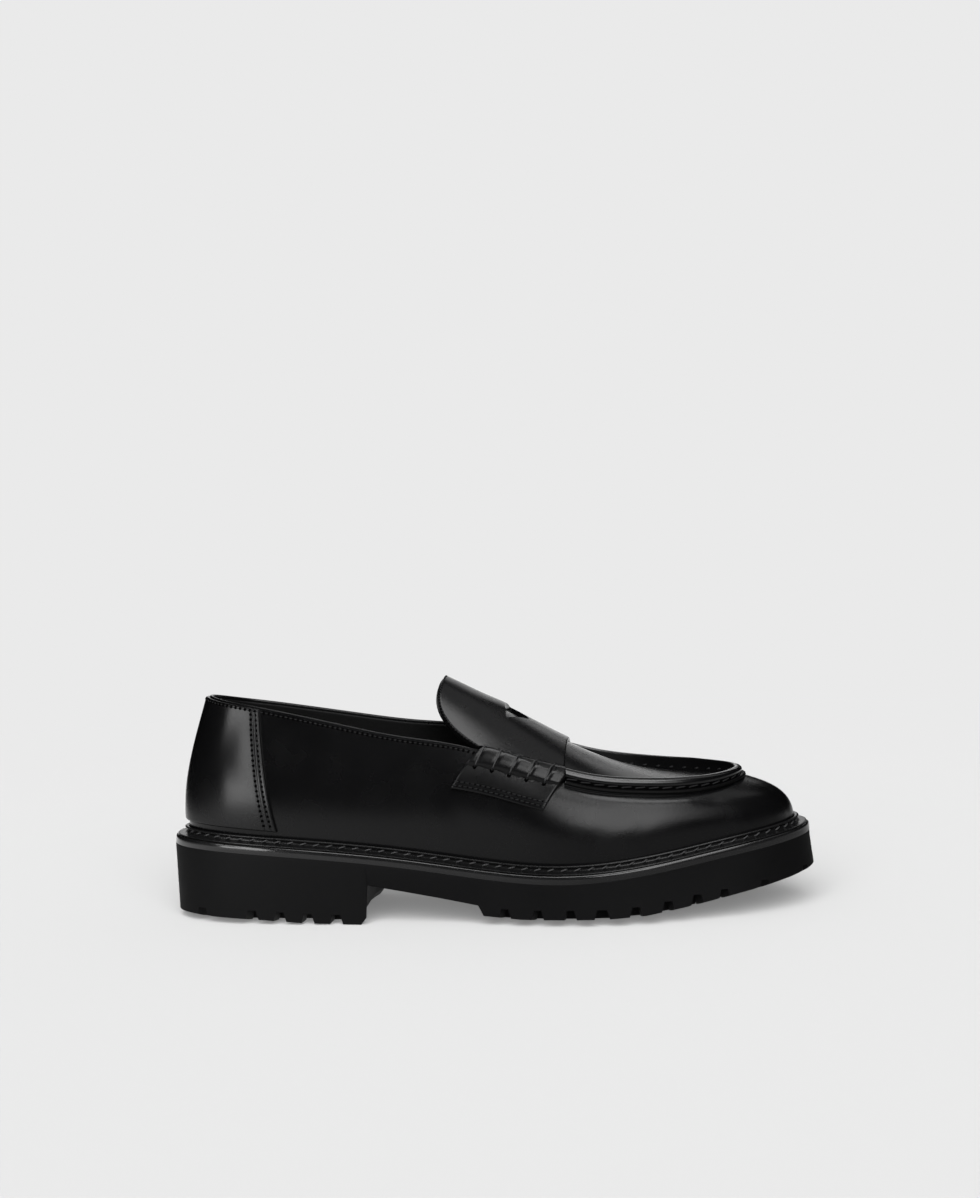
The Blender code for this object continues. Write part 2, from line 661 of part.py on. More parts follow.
def make_outsole(finish):
    """The rubber sole and heel with its edge lugs, channels and middle blocks."""
    outsole = outsole_body(finish)
    fore = np.concatenate([np.linspace(5.15, 9.2, 18), np.linspace(9.4, TOE, 4)])
    fore_loop = np.concatenate([fore, LOOP - fore[-2::-1]])
    heel = np.linspace(0, 2.9, 12)
    heel_loop = np.concatenate([heel[::-1], LOOP - heel[1:]])
    cut(outsole, channel_cutter("fore_channel", fore_loop))
    cut(outsole, channel_cutter("heel_channel", heel_loop))
    cut(outsole, bar_cutters())
    cut(outsole, notch_cutters())
    return outsole


def main():
    for old in list(bpy.data.objects):
        bpy.data.objects.remove(old)
    leather = material("black_leather", (0.012, 0.012, 0.013), 0.34)
    edge_leather = material("black_welt_leather", (0.014, 0.014, 0.015), 0.42)
    rubber = material("black_rubber", (0.016, 0.016, 0.017), 0.62)
    lining = material("black_lining", (0.010, 0.010, 0.011), 0.60)
    make_outsole(rubber)
    make_midsole(edge_leather)
    make_welt(edge_leather)
    make_insole(lining)
    make_upper(leather)
    make_counter(leather)
    make_ridge(leather)
    make_saddle(leather)


main()
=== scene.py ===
"""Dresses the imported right-foot loafer: fine leather, stitching, rubber, floor, light and camera.

The frame's axes are kept: +X to the toe, +Y to the inner side of the foot, +Z up. The shape
functions work in millimetres, and points turn to metres where a mesh is made.
"""

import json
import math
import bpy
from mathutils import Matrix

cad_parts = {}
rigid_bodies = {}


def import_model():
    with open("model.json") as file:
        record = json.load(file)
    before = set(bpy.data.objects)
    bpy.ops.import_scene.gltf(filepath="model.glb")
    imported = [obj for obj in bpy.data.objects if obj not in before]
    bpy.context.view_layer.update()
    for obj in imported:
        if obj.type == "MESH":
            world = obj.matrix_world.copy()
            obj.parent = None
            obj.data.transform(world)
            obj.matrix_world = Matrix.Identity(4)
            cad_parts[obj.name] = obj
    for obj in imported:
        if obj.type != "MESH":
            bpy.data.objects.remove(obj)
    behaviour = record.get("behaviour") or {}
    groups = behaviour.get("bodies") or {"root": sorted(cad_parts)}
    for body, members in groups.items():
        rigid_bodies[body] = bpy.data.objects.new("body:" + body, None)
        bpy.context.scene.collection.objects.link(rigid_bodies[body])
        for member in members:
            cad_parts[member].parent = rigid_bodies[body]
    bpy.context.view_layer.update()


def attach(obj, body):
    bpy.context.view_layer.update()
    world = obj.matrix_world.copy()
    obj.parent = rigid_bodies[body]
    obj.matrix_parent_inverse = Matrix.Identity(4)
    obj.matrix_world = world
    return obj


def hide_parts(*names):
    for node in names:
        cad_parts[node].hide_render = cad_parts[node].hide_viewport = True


bl_info = {
    "name": "Loafer dresser",
    "version": (1, 0, 0),
    "blender": (4, 5, 0),
    "location": "View3D > Sidebar > Loafer",
    "description": "Builds the leather, stitching, sole and studio round the packed loafer",
    "category": "Object",
}

from collections import namedtuple

import bmesh
import bpy
import numpy as np
from bpy.props import FloatProperty, FloatVectorProperty, IntProperty, PointerProperty
from mathutils import Matrix, Vector

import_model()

MM = 0.001

# Driving sizes of the shoe, in millimetres
SOLE_LENGTH = 306.0
BALL_WIDTH = 107.0
INSTEP_HEIGHT = 112.0

# Upper, in millimetres: its wall, outer leather and lining, the swell, the apron's seam, the counter
WALL = 2.0
GAP = 0.35
CALF = 1.4
LINING = 0.55
LINING_CLEARANCE = 0.02
LINING_DROP = 1.6
LINING_RISE = 60.0
SWELL = 0.7
SWELL_RISE = 7.0
SWELL_FADE = 5.0
RIDGE_HEIGHT = 6.8
RIDGE_TOE_HEIGHT = 4.0
COUNTER = 1.3

# Saddle, in millimetres: its rolls, tabs and slot
SADDLE = 1.8
ROLL_HEIGHT = 3.0
ROLL_HALF_WIDTH = 5.6
ROLL_FRONT = 1.5
ROLL_BACK = -3.9
TAB_STAND_OFF = 1.1
SLOT_OUTER = 15.2
SLOT_INNER = 12.5
SLOT_LENGTH = 13.0
SLOT_SWEEP = 1.8
SLOT_BACK_X = 8.5
SLOT_MIDDLE_Y = -1.7
SLOT_LIP = 1.0

# Sole, in millimetres: midsole, welt, sock, lugs and the cuts between them
LEDGE = 7.3
MIDSOLE = 4.0
RIM_ROUND = 1.1
RIM_SLOPE = 0.25
WELT_SET_BACK = 1.4
BEAD = 3.6
INSOLE = 3.2
LUG_DEPTH = 4.2
LUG_REACH = 14.0
CHANNEL_WIDTH = 3.6
CHANNEL_OVERLAP = 0.7
GROOVE_INSET = 1.5
GROOVE_DEPTH = 3.6
CUT_PAST = 6.0

# Stations run from the heel's back, 0, to the toe tip, 10, along both sides of the foot.
# x is in percent of the sole's length, out and inn in percent of the ball's width, and
# heights in percent of the instep's. foot and apex shape the wall at its foot and top.
Station = namedtuple(
    "Station",
    "rim_x rim_out rim_inn rim_z top_x top_out top_inn z_out z_inn "
    "foot_lean foot_pull apex_lean apex_pull",
)
STATIONS = [
    Station(-49.9, -3.0, -3.0, 35.0, -43.4, -3.0, -3.0, 94.6, 94.6, 7, 0.35, 17, 0.35),
    Station(-45.2, -25.0, 18.9, 35.0, -40.2, -19.9, 14.3, 93.8, 91.3, 10, 0.35, 15, 0.35),
    Station(-35.6, -34.8, 28.7, 33.6, -33.7, -26.4, 20.8, 90.9, 87.9, 12, 0.35, 11, 0.35),
    Station(-23.2, -37.6, 31.0, 30.8, -22.2, -30.0, 24.7, 84.1, 82.3, 13, 0.35, 9, 0.35),
    Station(-11.1, -39.9, 32.4, 27.1, -11.4, -32.5, 27.8, 78.0, 77.7, 13, 0.36, 12, 0.35),
    Station(0.7, -44.1, 37.1, 22.9, -0.1, -35.2, 31.2, 72.1, 72.8, 11, 0.38, 24, 0.36),
    Station(12.4, -49.7, 45.0, 21.3, 12.3, -37.0, 33.9, 58.3, 59.4, 9, 0.40, 40, 0.40),
    Station(24.2, -47.4, 49.3, 24.1, 23.5, -32.5, 32.9, 52.7, 53.6, 8, 0.46, 54, 0.44),
    Station(35.0, -38.5, 45.0, 28.8, 31.7, -25.5, 26.9, 51.8, 52.5, 7, 0.52, 62, 0.52),
    Station(44.5, -25.4, 28.7, 32.6, 37.1, -12.9, 15.7, 53.2, 53.4, 5, 0.66, 70, 0.64),
    Station(49.5, 0.7, 0.7, 34.2, 38.9, 1.3, 1.3, 54.5, 54.5, 4, 0.64, 72, 0.72),
]
TOE = len(STATIONS) - 1
LOOP = 2 * TOE
THROAT = 5.0
STRAP_FRONT = 6.0
SWELL_START, SWELL_END = 5.7, 8.3

# The apron and tongue from throat to toe: crown over the seam in percent of the instep's
# height, and bow, how far the middle lies behind the ends, in millimetres.
Apron = namedtuple("Apron", "crown bow")
APRONS = [
    Apron(25.9, 20.5),
    Apron(10.7, 0.0),
    Apron(3.8, 0.0),
    Apron(1.6, 0.0),
    Apron(0.6, 0.0),
    Apron(0.0, 0.0),
]
CROWN_POWER = 2.2

# Sections of the outsole's underside by station, in millimetres: floor is its height in the
# middle, camber the rise of its edges, bow how far the middle lies back, flare how far it spreads.
Tread = namedtuple("Tread", "station floor camber bow flare")
TREADS = [
    Tread(0.00, 3.4, 0.0, 0.0, -0.6),
    Tread(0.15, 3.2, 0.1, 0.0, -0.6),
    Tread(0.40, 2.6, 0.7, 0.0, -0.8),
    Tread(0.75, 1.8, 1.7, 0.0, -1.0),
    Tread(1.20, 0.8, 2.7, 0.0, -1.2),
    Tread(1.70, 0.0, 3.1, 0.0, -1.5),
    Tread(2.10, 0.0, 2.3, 0.0, -1.8),
    Tread(2.60, 0.0, 0.9, 0.0, -2.0),
    Tread(3.31, 0.0, 0.1, 4.0, -2.0),
    Tread(3.38, 3.4, 0.0, 4.0, -2.0),
    Tread(3.41, 18.7, 0.0, 4.0, -1.6),
    Tread(3.76, 16.5, 0.0, 2.0, -1.4),
    Tread(4.30, 13.1, 0.0, 0.0, -1.2),
    Tread(4.84, 9.6, 0.0, 0.0, -0.8),
    Tread(4.91, 1.4, 3.4, 0.0, -0.6),
    Tread(5.40, 0.0, 3.6, 0.0, 0.0),
    Tread(6.00, 0.0, 3.7, 0.0, 0.0),
    Tread(6.50, 0.0, 3.8, 0.0, 0.4),
    Tread(7.00, 1.0, 3.8, 0.0, 0.8),
    Tread(7.50, 3.4, 4.2, 0.0, 1.2),
    Tread(8.00, 6.5, 4.1, 0.0, 1.6),
    Tread(8.50, 9.8, 3.6, 0.0, 1.6),
    Tread(9.00, 13.2, 2.8, 0.0, 1.6),
    Tread(9.40, 15.8, 1.8, 0.0, 1.6),
    Tread(9.75, 17.8, 0.7, 0.0, 1.6),
    Tread(10.0, 18.6, 0.0, 0.0, 1.6),
]

# Soft hollows in the leather: at is the place on the loop, up the share of the wall's
# height, long and wide are half sizes in millimetres, turn leans it from upright.
Crease = namedtuple("Crease", "at up long wide depth turn")
CREASES = [
    Crease(2.42, 0.80, 13.0, 3.0, 0.30, 10),
    Crease(2.62, 0.84, 10.0, 2.6, 0.20, 14),
    Crease(4.45, 0.55, 16.0, 6.0, 0.28, -35),
    Crease(6.35, 0.38, 20.0, 6.0, 0.14, 40),
    Crease(6.85, 0.30, 18.0, 5.0, 0.10, 30),
    Crease(8.35, 0.20, 9.0, 2.4, 0.16, 0),
    Crease(8.75, 0.22, 9.0, 2.2, 0.18, 0),
    Crease(9.15, 0.20, 9.0, 2.4, 0.16, 0),
    Crease(9.60, 0.22, 9.0, 2.6, 0.16, 0),
    Crease(10.45, 0.22, 9.0, 2.6, 0.16, 0),
    Crease(10.95, 0.20, 9.0, 2.4, 0.18, 0),
    Crease(11.45, 0.22, 9.0, 2.4, 0.16, 0),
    Crease(13.20, 0.32, 18.0, 5.0, 0.22, -30),
    Crease(13.70, 0.38, 20.0, 6.0, 0.30, -40),
    Crease(15.55, 0.55, 16.0, 6.0, 0.28, 35),
    Crease(17.55, 0.80, 13.0, 3.0, 0.30, -10),
]

# The usual run of one station and rise of the wall, in millimetres, and how fast hollows end at the top
STATION_RUN = 36.0
WALL_RISE = 52.0
HOLLOW_FADE = 8

# Fine steps round the loop, up the wall and across the apron
COLUMNS = np.concatenate(
    [
        np.arange(0.0, 2.0, 0.05),
        np.arange(2.0, THROAT, 0.075),
        np.arange(THROAT, 9.0, 0.05),
        np.linspace(9.0, TOE, 26),
    ]
)
WALL_ROWS = np.linspace(0.0, 1.0, 44)
ACROSS = np.sin(np.linspace(-math.pi / 2, math.pi / 2, 49))


class Spline:
    """A smooth curve through evenly spaced values, closed on itself or with free ends."""

    def __init__(self, values, closed=False):
        self.values = np.asarray(values, float)
        self.closed = closed
        count = len(self.values)
        identity = np.eye(count)
        before, after = np.roll(self.values, 1), np.roll(self.values, -1)
        bends = 6 * (before - 2 * self.values + after)
        matrix = 4 * identity + np.roll(identity, 1, axis=0) + np.roll(identity, -1, axis=0)
        if not closed:
            matrix[[0, -1]] = identity[[0, -1]]
            bends[[0, -1]] = 0
        self.bends = np.linalg.solve(matrix, bends)

    def __call__(self, at):
        count = len(self.values)
        at = np.asarray(at, float)
        at = at % count if self.closed else np.clip(at, 0, count - 1)
        low = np.minimum(np.floor(at).astype(int), count - 1 if self.closed else count - 2)
        high = (low + 1) % count
        b = at - low
        a = 1 - b
        straight = a * self.values[low] + b * self.values[high]
        return straight + ((a**3 - a) * self.bends[low] + (b**3 - b) * self.bends[high]) / 6


def around(outer, inner=None):
    """A closed spline round the shoe: the outer side heel to toe, then the inner side back."""
    out = [getattr(row, outer) for row in STATIONS]
    inn = [getattr(row, inner or outer) for row in STATIONS]
    return Spline(out + inn[-2:0:-1], closed=True)


LENGTH_PER_CENT = SOLE_LENGTH / 100
WIDTH_PER_CENT = BALL_WIDTH / 100
HEIGHT_PER_CENT = INSTEP_HEIGHT / 100
RIM_X, RIM_Y, RIM_Z = around("rim_x"), around("rim_out", "rim_inn"), around("rim_z")
TOP_X, TOP_Y, TOP_Z = around("top_x"), around("top_out", "top_inn"), around("z_out", "z_inn")
FOOT_LEAN, FOOT_PULL = around("foot_lean"), around("foot_pull")
APEX_LEAN, APEX_PULL = around("apex_lean"), around("apex_pull")
CROWN = Spline([row.crown * HEIGHT_PER_CENT for row in APRONS])
BOW = Spline([row.bow for row in APRONS])


def unit(vectors):
    """Vectors scaled to length one."""
    return vectors / np.maximum(np.linalg.norm(vectors, axis=-1, keepdims=True), 1e-9)


def ease(share):
    """A share held between 0 and 1, with a soft start and a soft end."""
    share = np.clip(share, 0, 1)
    return share * share * (3 - 2 * share)


def hump(away, width):
    """A soft round hump: 1 in its middle, falling off over a width."""
    return np.exp(-((away / width) ** 2))


def station_of(at):
    """The station, from the heel's to the toe's, of a place on the loop."""
    return np.minimum(at % LOOP, LOOP - at % LOOP)


def inward_of(x, y, at, step=1e-3):
    """The unit vector in plan from a line round the shoe towards its inside."""
    along_x = (x(at + step) - x(at - step)) * LENGTH_PER_CENT
    along_y = (y(at + step) - y(at - step)) * WIDTH_PER_CENT
    return unit(np.stack([-along_y, along_x], -1))


def rim_inward(at):
    """The unit vector in plan from the sole's edge towards the inside of the shoe."""
    return inward_of(RIM_X, RIM_Y, at)


def rim(at, outwards=0.0):
    """The sole's edge in plan at a place on the loop, moved outwards, as x and y."""
    x, y = RIM_X(at) * LENGTH_PER_CENT, RIM_Y(at) * WIDTH_PER_CENT
    return np.stack([x, y], -1) - rim_inward(at) * np.asarray(outwards)[..., None]


SOLE_PLACES = np.linspace(0, TOE, 400)
SOLE_X = RIM_X(SOLE_PLACES) * LENGTH_PER_CENT
SOLE_Z = RIM_Z(SOLE_PLACES) * HEIGHT_PER_CENT


def sole_top(x):
    """The height of the midsole's upper face, which is level from side to side."""
    return np.interp(x, SOLE_X, SOLE_Z)


def wall(at, up):
    """A point on the upper's outer side: at is the place on the loop, up runs 0 to 1."""
    at, up = np.broadcast_arrays(np.asarray(at, float), np.asarray(up, float))
    inward = rim_inward(at)
    along = np.stack([inward[..., 1], -inward[..., 0]], -1)
    foot = rim(at, -LEDGE)
    foot_z = sole_top(foot[..., 0]) + GAP
    top = np.stack([TOP_X(at) * LENGTH_PER_CENT, TOP_Y(at) * WIDTH_PER_CENT], -1)
    height = TOP_Z(at) * HEIGHT_PER_CENT - foot_z
    depth = np.sum((top - foot) * inward, -1)
    shift = np.sum((top - foot) * along, -1)
    lean, pull = np.radians(FOOT_LEAN(at)), FOOT_PULL(at) * height
    apex, draw = np.radians(APEX_LEAN(at)), APEX_PULL(at) * height
    early, late, last = 3 * up * (1 - up) ** 2, 3 * up**2 * (1 - up), up**3
    move_in = early * -np.sin(lean) * pull + late * (depth - np.sin(apex) * draw) + last * depth
    move_up = early * np.cos(lean) * pull + late * (height - np.cos(apex) * draw) + last * height
    plan = foot + inward * move_in[..., None] + along * (shift * up)[..., None]
    return np.concatenate([plan, (foot_z + move_up)[..., None]], -1)


def apron(station, across):
    """A point on the apron or tongue: across runs from -1, the outer seam, to 1, the inner."""
    station, across = np.broadcast_arrays(np.asarray(station, float), np.asarray(across, float))
    outer, inner = wall(station, 1.0), wall(LOOP - station, 1.0)
    share = ((across + 1) / 2)[..., None]
    point = outer * (1 - share) + inner * share
    spread = (1 - across**4) * (1 + 0.5 * across**2)
    point[..., 0] -= BOW(station - THROAT) * spread
    point[..., 2] += CROWN(station - THROAT) * (1 - np.abs(across) ** CROWN_POWER)
    return point


def climb_at_top(at, step=0.02):
    """Millimetres up the wall for each unit of up, just below the wall's top."""
    return np.linalg.norm(wall(at, 1.0) - wall(at, 1.0 - step), axis=-1) / step


def facing(surface, first, second, step=1e-3):
    """Unit directions out of the shoe on a surface function of two numbers."""
    first, second = np.broadcast_arrays(np.asarray(first, float), np.asarray(second, float))
    one = surface(first + step, second) - surface(first - step, second)
    two = surface(first, second + step) - surface(first, second - step)
    return unit(np.cross(one, two))


def hollows(at, up):
    """How far the leather sinks at a place on the wall, in millimetres."""
    at, up = np.broadcast_arrays(np.asarray(at, float), np.asarray(up, float))
    total = np.zeros(at.shape)
    for crease in CREASES:
        away = (at - crease.at + TOE) % LOOP - TOE
        x, z = away * STATION_RUN, (up - crease.up) * WALL_RISE
        turn = math.radians(crease.turn)
        long = x * math.sin(turn) + z * math.cos(turn)
        wide = x * math.cos(turn) - z * math.sin(turn)
        total += crease.depth * np.exp(-((long / crease.long) ** 2) - (wide / crease.wide) ** 2)
    return total * np.clip((1 - up) * HOLLOW_FADE, 0, 1)


def skin(at, up):
    """The upper's outer side with its soft hollows and the swell along the apron's seam."""
    at, up = np.broadcast_arrays(np.asarray(at, float), np.asarray(up, float))
    below = (1 - up) * climb_at_top(at)
    fading = hump(np.clip(below - SWELL_RISE, 0, None), SWELL_FADE)
    station = station_of(at)
    ends = np.clip(station - SWELL_START, 0, 1) * np.clip((SWELL_END - station) * 2, 0, 1)
    swell = SWELL * ease(below / SWELL_RISE) * fading * ends
    return wall(at, up) + facing(wall, at, up) * (swell - hollows(at, up))[..., None]


def both_sides(stations):
    """Places on the loop: the outer side from heel to toe, then the inner side back."""
    return np.concatenate([stations, LOOP - stations[-2:0:-1]])


def edge_shares(count, length, edge=1.2):
    """Shares from 0 to 1 with close steps at both ends, so that a rounded edge has faces."""
    close = np.array([0.0, 0.08, 0.2, 0.4, 0.7, 1.0]) * edge / length
    middle = np.linspace(close[-1], 1 - close[-1], count)[1:-1]
    return np.concatenate([close, middle, 1 - close[::-1]])


def edge_distance(grid):
    """The distance of each grid point from the nearest of the grid's four edges."""
    best = np.full(grid.shape[:2], np.inf)
    for axis in (0, 1):
        steps = np.linalg.norm(np.diff(grid, axis=axis), axis=-1)
        start = np.zeros_like(np.take(steps, [0], axis=axis))
        walked = np.concatenate([start, np.cumsum(steps, axis=axis)], axis=axis)
        rest = np.take(walked, [-1], axis=axis) - walked
        best = np.minimum(best, np.minimum(walked, rest))
    return best


def read_at(spots, walked, points):
    """Points or directions at spots along a line, given how far each of its points is along it."""
    return np.stack([np.interp(spots, walked, points[:, i]) for i in range(3)], axis=-1)


def trimmed(line, out, cut_off):
    """A path with a length in millimetres taken off each end."""
    steps = np.linalg.norm(np.diff(line, axis=0), axis=-1)
    walked = np.concatenate([[0], np.cumsum(steps)])
    spots = np.linspace(cut_off, walked[-1] - cut_off, len(line))
    return read_at(spots, walked, line), unit(read_at(spots, walked, out))


def cut_edge(distance, radius, low=0.3):
    """The share of a leather's thickness near its cut edge, which is rounded over."""
    share = np.clip(distance / radius, 0, 1)
    return low + (1 - low) * np.sqrt(1 - (1 - share) ** 2)


# Mesh making

# Angles in degrees past which a piece's edges stay sharp
SHARP, SEAM_SHARP, OUTSOLE_SHARP = 50, 60, 32


def strip_faces(rows, columns, offset=0, closed=False):
    """Quads of a grid of rows by columns, joined round from last column to first if closed."""
    faces = []
    for row in range(rows - 1):
        for column in range(columns if closed else columns - 1):
            near, far = column, (column + 1) % columns
            low, high = offset + row * columns, offset + (row + 1) * columns
            faces.append((low + near, low + far, high + far, high + near))
    return faces


def prism_faces(count, first=0):
    """Faces of a prism whose points are its two ends, each a loop of count corners."""
    near, far = range(first, first + count), range(first + count, first + 2 * count)
    sides = [(near[i - 1], near[i], far[i], far[i - 1]) for i in range(count)]
    return sides + [tuple(near), tuple(far)]


class Patches:
    """Grids of points gathered into the points and faces of one mesh."""

    def __init__(self):
        self.points = []
        self.faces = []

    def add(self, grid, closed=False, kept=None):
        """Adds a grid, of which only the kept columns get faces, and gives its first number."""
        rows, columns = grid.shape[:2]
        first = len(self.points)
        self.points.extend(grid.reshape(-1, 3))
        faces = strip_faces(rows, columns, first, closed)
        if kept is not None:
            faces = [face for index, face in enumerate(faces) if kept[index % columns]]
        self.faces += faces
        return first

    def join(self, one, two, count, closed=False):
        """Adds a band of faces between two runs of points."""
        for near in range(count if closed else count - 1):
            far = (near + 1) % count
            self.faces.append((one + near, one + far, two + far, two + near))


def solid(name, points, faces, surface, sharp=SHARP):
    """A named closed mesh from points in millimetres, smooth but for its sharp edges."""
    mesh = bpy.data.meshes.new(name)
    mesh.from_pydata((np.asarray(points, float) * MM).tolist(), [], faces)
    shape = bmesh.new()
    shape.from_mesh(mesh)
    bmesh.ops.remove_doubles(shape, verts=shape.verts, dist=2e-6)
    bmesh.ops.dissolve_degenerate(shape, edges=shape.edges, dist=1e-6)
    bmesh.ops.recalc_face_normals(shape, faces=shape.faces)
    shape.to_mesh(mesh)
    shape.free()
    made = bpy.data.objects.new(name, mesh)
    bpy.context.scene.collection.objects.link(made)
    smooth(made, sharp)
    mesh.materials.append(surface)
    return made


def smooth(made, sharp):
    """Smooth shading with sharp edges past an angle in degrees."""
    made.data.shade_smooth()
    made.data.set_sharp_from_angle(angle=math.radians(sharp))


def sheet_solid(name, inner, outer, surface, sharp=SHARP):
    """A closed piece between two grids of the same rows and columns."""
    rows, columns = inner.shape[:2]
    count = rows * columns
    faces = strip_faces(rows, columns) + strip_faces(rows, columns, count)
    edge = [(0, c) for c in range(columns)] + [(r, columns - 1) for r in range(1, rows)]
    edge += [(rows - 1, c) for c in range(columns - 2, -1, -1)]
    edge += [(r, 0) for r in range(rows - 2, 0, -1)]
    loop = [r * columns + c for r, c in edge]
    for one, two in zip(loop, loop[1:] + loop[:1]):
        faces.append((one, two, two + count, one + count))
    points = np.concatenate([inner.reshape(-1, 3), outer.reshape(-1, 3)])
    return solid(name, points, faces, surface, sharp)


def ring_solid(name, sections, surface, sharp=SHARP):
    """A closed ring: sections is places round the loop by points of the section."""
    rows, columns = sections.shape[:2]
    closed = np.concatenate([sections, sections[:1]])
    faces = strip_faces(rows + 1, columns, closed=True)
    return solid(name, closed.reshape(-1, 3), faces, surface, sharp)


def bar_solid(name, sections, surface, sharp=SHARP):
    """A closed bar: sections is places along it by points of the section, with flat ends."""
    rows, columns = sections.shape[:2]
    faces = strip_faces(rows, columns, closed=True)
    faces += [tuple(range(columns)), tuple(range((rows - 1) * columns, rows * columns))]
    return solid(name, sections.reshape(-1, 3), faces, surface, sharp)


def ladder_faces(count):
    """Faces across a loop of 2 * count - 2 points, rung by rung from heel to toe."""
    size = 2 * count - 2
    return [
        (station, station + 1, (size - station - 1) % size, (size - station) % size)
        for station in range(1, count - 2)
    ] + [(0, 1, size - 1), (count - 2, count - 1, count)]


def plate_solid(name, loops, surface, sharp=SHARP):
    """A closed plate from loops round the shoe, lowest first, capped rung by rung."""
    size = loops[0].shape[0]
    count = size // 2 + 1
    faces = strip_faces(len(loops), size, closed=True)
    last = (len(loops) - 1) * size
    for face in ladder_faces(count):
        faces.append(face)
        faces.append(tuple(last + corner for corner in face))
    return solid(name, np.concatenate(loops), faces, surface, sharp)


def sole_loop(at, outwards, rise):
    """A loop round the sole, moved outwards, at a rise over the midsole's upper face."""
    plan = rim(at, np.full(len(at), float(outwards)))
    return np.column_stack([plan, sole_top(plan[:, 0]) + rise])


def bake(made):
    """Turns an object with modifiers into a plain mesh."""
    bpy.context.view_layer.update()
    graph = bpy.context.evaluated_depsgraph_get()
    mesh = bpy.data.meshes.new_from_object(made.evaluated_get(graph))
    old = made.data
    made.modifiers.clear()
    made.data = mesh
    mesh.name = made.name
    bpy.data.meshes.remove(old)
    return made


def cut(target, cutter):
    """Takes a helper's shape out of the target, and removes the helper."""
    taken = target.modifiers.new("cut", "BOOLEAN")
    taken.operation = "DIFFERENCE"
    taken.solver = "EXACT"
    taken.object = cutter
    bake(target)
    bpy.data.objects.remove(cutter)


def dress(piece, slot=None, *nodes):
    """Hangs a finished piece on the shoe, in place of the named nodes."""
    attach(piece, "root")
    if nodes:
        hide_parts(*nodes)
    return piece


# Finishes


def node(tree, kind, links=None, **values):
    """A shader node with its sockets set to values and joined to other nodes' outputs."""
    made = tree.nodes.new(kind)
    for key, value in values.items():
        setattr(made, key, value)
    for key, source in (links or {}).items():
        if isinstance(source, (int, float, tuple)):
            made.inputs[key].default_value = source
        else:
            tree.links.new(source, made.inputs[key])
    return made


def own_place(tree):
    """The place on a piece, in its own coordinates."""
    return node(tree, "ShaderNodeTexCoord").outputs["Object"]


def noise(tree, place, scale, detail):
    """The height of a noise pattern at a place."""
    links = {"Vector": place, "Scale": scale, "Detail": detail}
    return node(tree, "ShaderNodeTexNoise", links).outputs["Fac"]


def times(tree, source, factor):
    """A number in a tree times a factor, which is a plain number or another output."""
    return node(tree, "ShaderNodeMath", {0: source, 1: factor}, operation="MULTIPLY").outputs[0]


def span(tree, value, start, end, first=0.0, last=1.0, **kind):
    """A value carried from the span start to end over to the span first to last."""
    links = {"Value": value, "From Min": start, "From Max": end, "To Min": first, "To Max": last}
    return node(tree, "ShaderNodeMapRange", links, **kind).outputs["Result"]


def finish_of(name, colour, roughness, **gloss):
    """A material, its node tree and its shader, with constant gloss set on the shader."""
    made = bpy.data.materials.new(name)
    made.use_nodes = True
    shader = made.node_tree.nodes["Principled BSDF"]
    shader.inputs["Base Color"].default_value = (*colour, 1)
    shader.inputs["Roughness"].default_value = roughness
    for key, value in gloss.items():
        shader.inputs[key.replace("_", " ")].default_value = value
    return made, made.node_tree, shader


def vary(tree, shader, source, colour, spread, roughness, swing):
    """Lets a pattern move the colour and the roughness a little."""
    low = tuple(c * (1 - spread) for c in colour)
    high = tuple(c * (1 + spread) for c in colour)
    ramp = node(tree, "ShaderNodeMix", {"Factor": source}, data_type="RGBA")
    ramp.inputs[6].default_value = (*low, 1)
    ramp.inputs[7].default_value = (*high, 1)
    tree.links.new(ramp.outputs[2], shader.inputs["Base Color"])
    moved = span(tree, source, 0.3, 0.7, roughness - swing, roughness + swing)
    tree.links.new(moved, shader.inputs["Roughness"])


def bumped(tree, shader, layers):
    """Adds layers of bump, each a height output with a strength and a depth in metres."""
    before = None
    for height, strength, depth in layers:
        links = {"Height": height, "Strength": strength, "Distance": depth}
        if before:
            links["Normal"] = before
        before = node(tree, "ShaderNodeBump", links).outputs["Normal"]
    tree.links.new(before, shader.inputs["Normal"])


def leather(name, colour, roughness, grain, depth, coat, shine=0.5):
    """Dyed leather: fine cells of grain, slow unevenness and a thin polish."""
    made, tree, shader = finish_of(
        name, colour, roughness, Coat_Weight=coat, Coat_Roughness=0.22, Specular_IOR_Level=shine
    )
    place = own_place(tree)
    links = {"Vector": place, "Scale": 1 / grain, "Randomness": 0.9}
    cells = node(tree, "ShaderNodeTexVoronoi", links, feature="DISTANCE_TO_EDGE").outputs["Distance"]
    pores = noise(tree, place, 0.6 / grain, 4.0)
    slow = noise(tree, place, 55.0, 3.0)
    wide = noise(tree, place, 22.0, 1.0)
    vary(tree, shader, slow, colour, 0.25, roughness, 0.035)
    layers = [(wide, 0.10, 0.0010), (slow, 0.02, 0.0006), (pores, 0.30, depth), (cells, 0.22, depth)]
    bumped(tree, shader, layers)
    return made


def rubber(name, colour, roughness):
    """Moulded rubber with a fine matt skin and faint flow marks."""
    made, tree, shader = finish_of(name, colour, roughness, Specular_IOR_Level=0.2)
    place = own_place(tree)
    speck = noise(tree, place, 2600.0, 3.0)
    flow = noise(tree, place, 60.0, 3.0)
    vary(tree, shader, flow, colour, 0.2, roughness, 0.05)
    bumped(tree, shader, [(flow, 0.12, 0.0006), (speck, 0.35, 0.00012)])
    return made


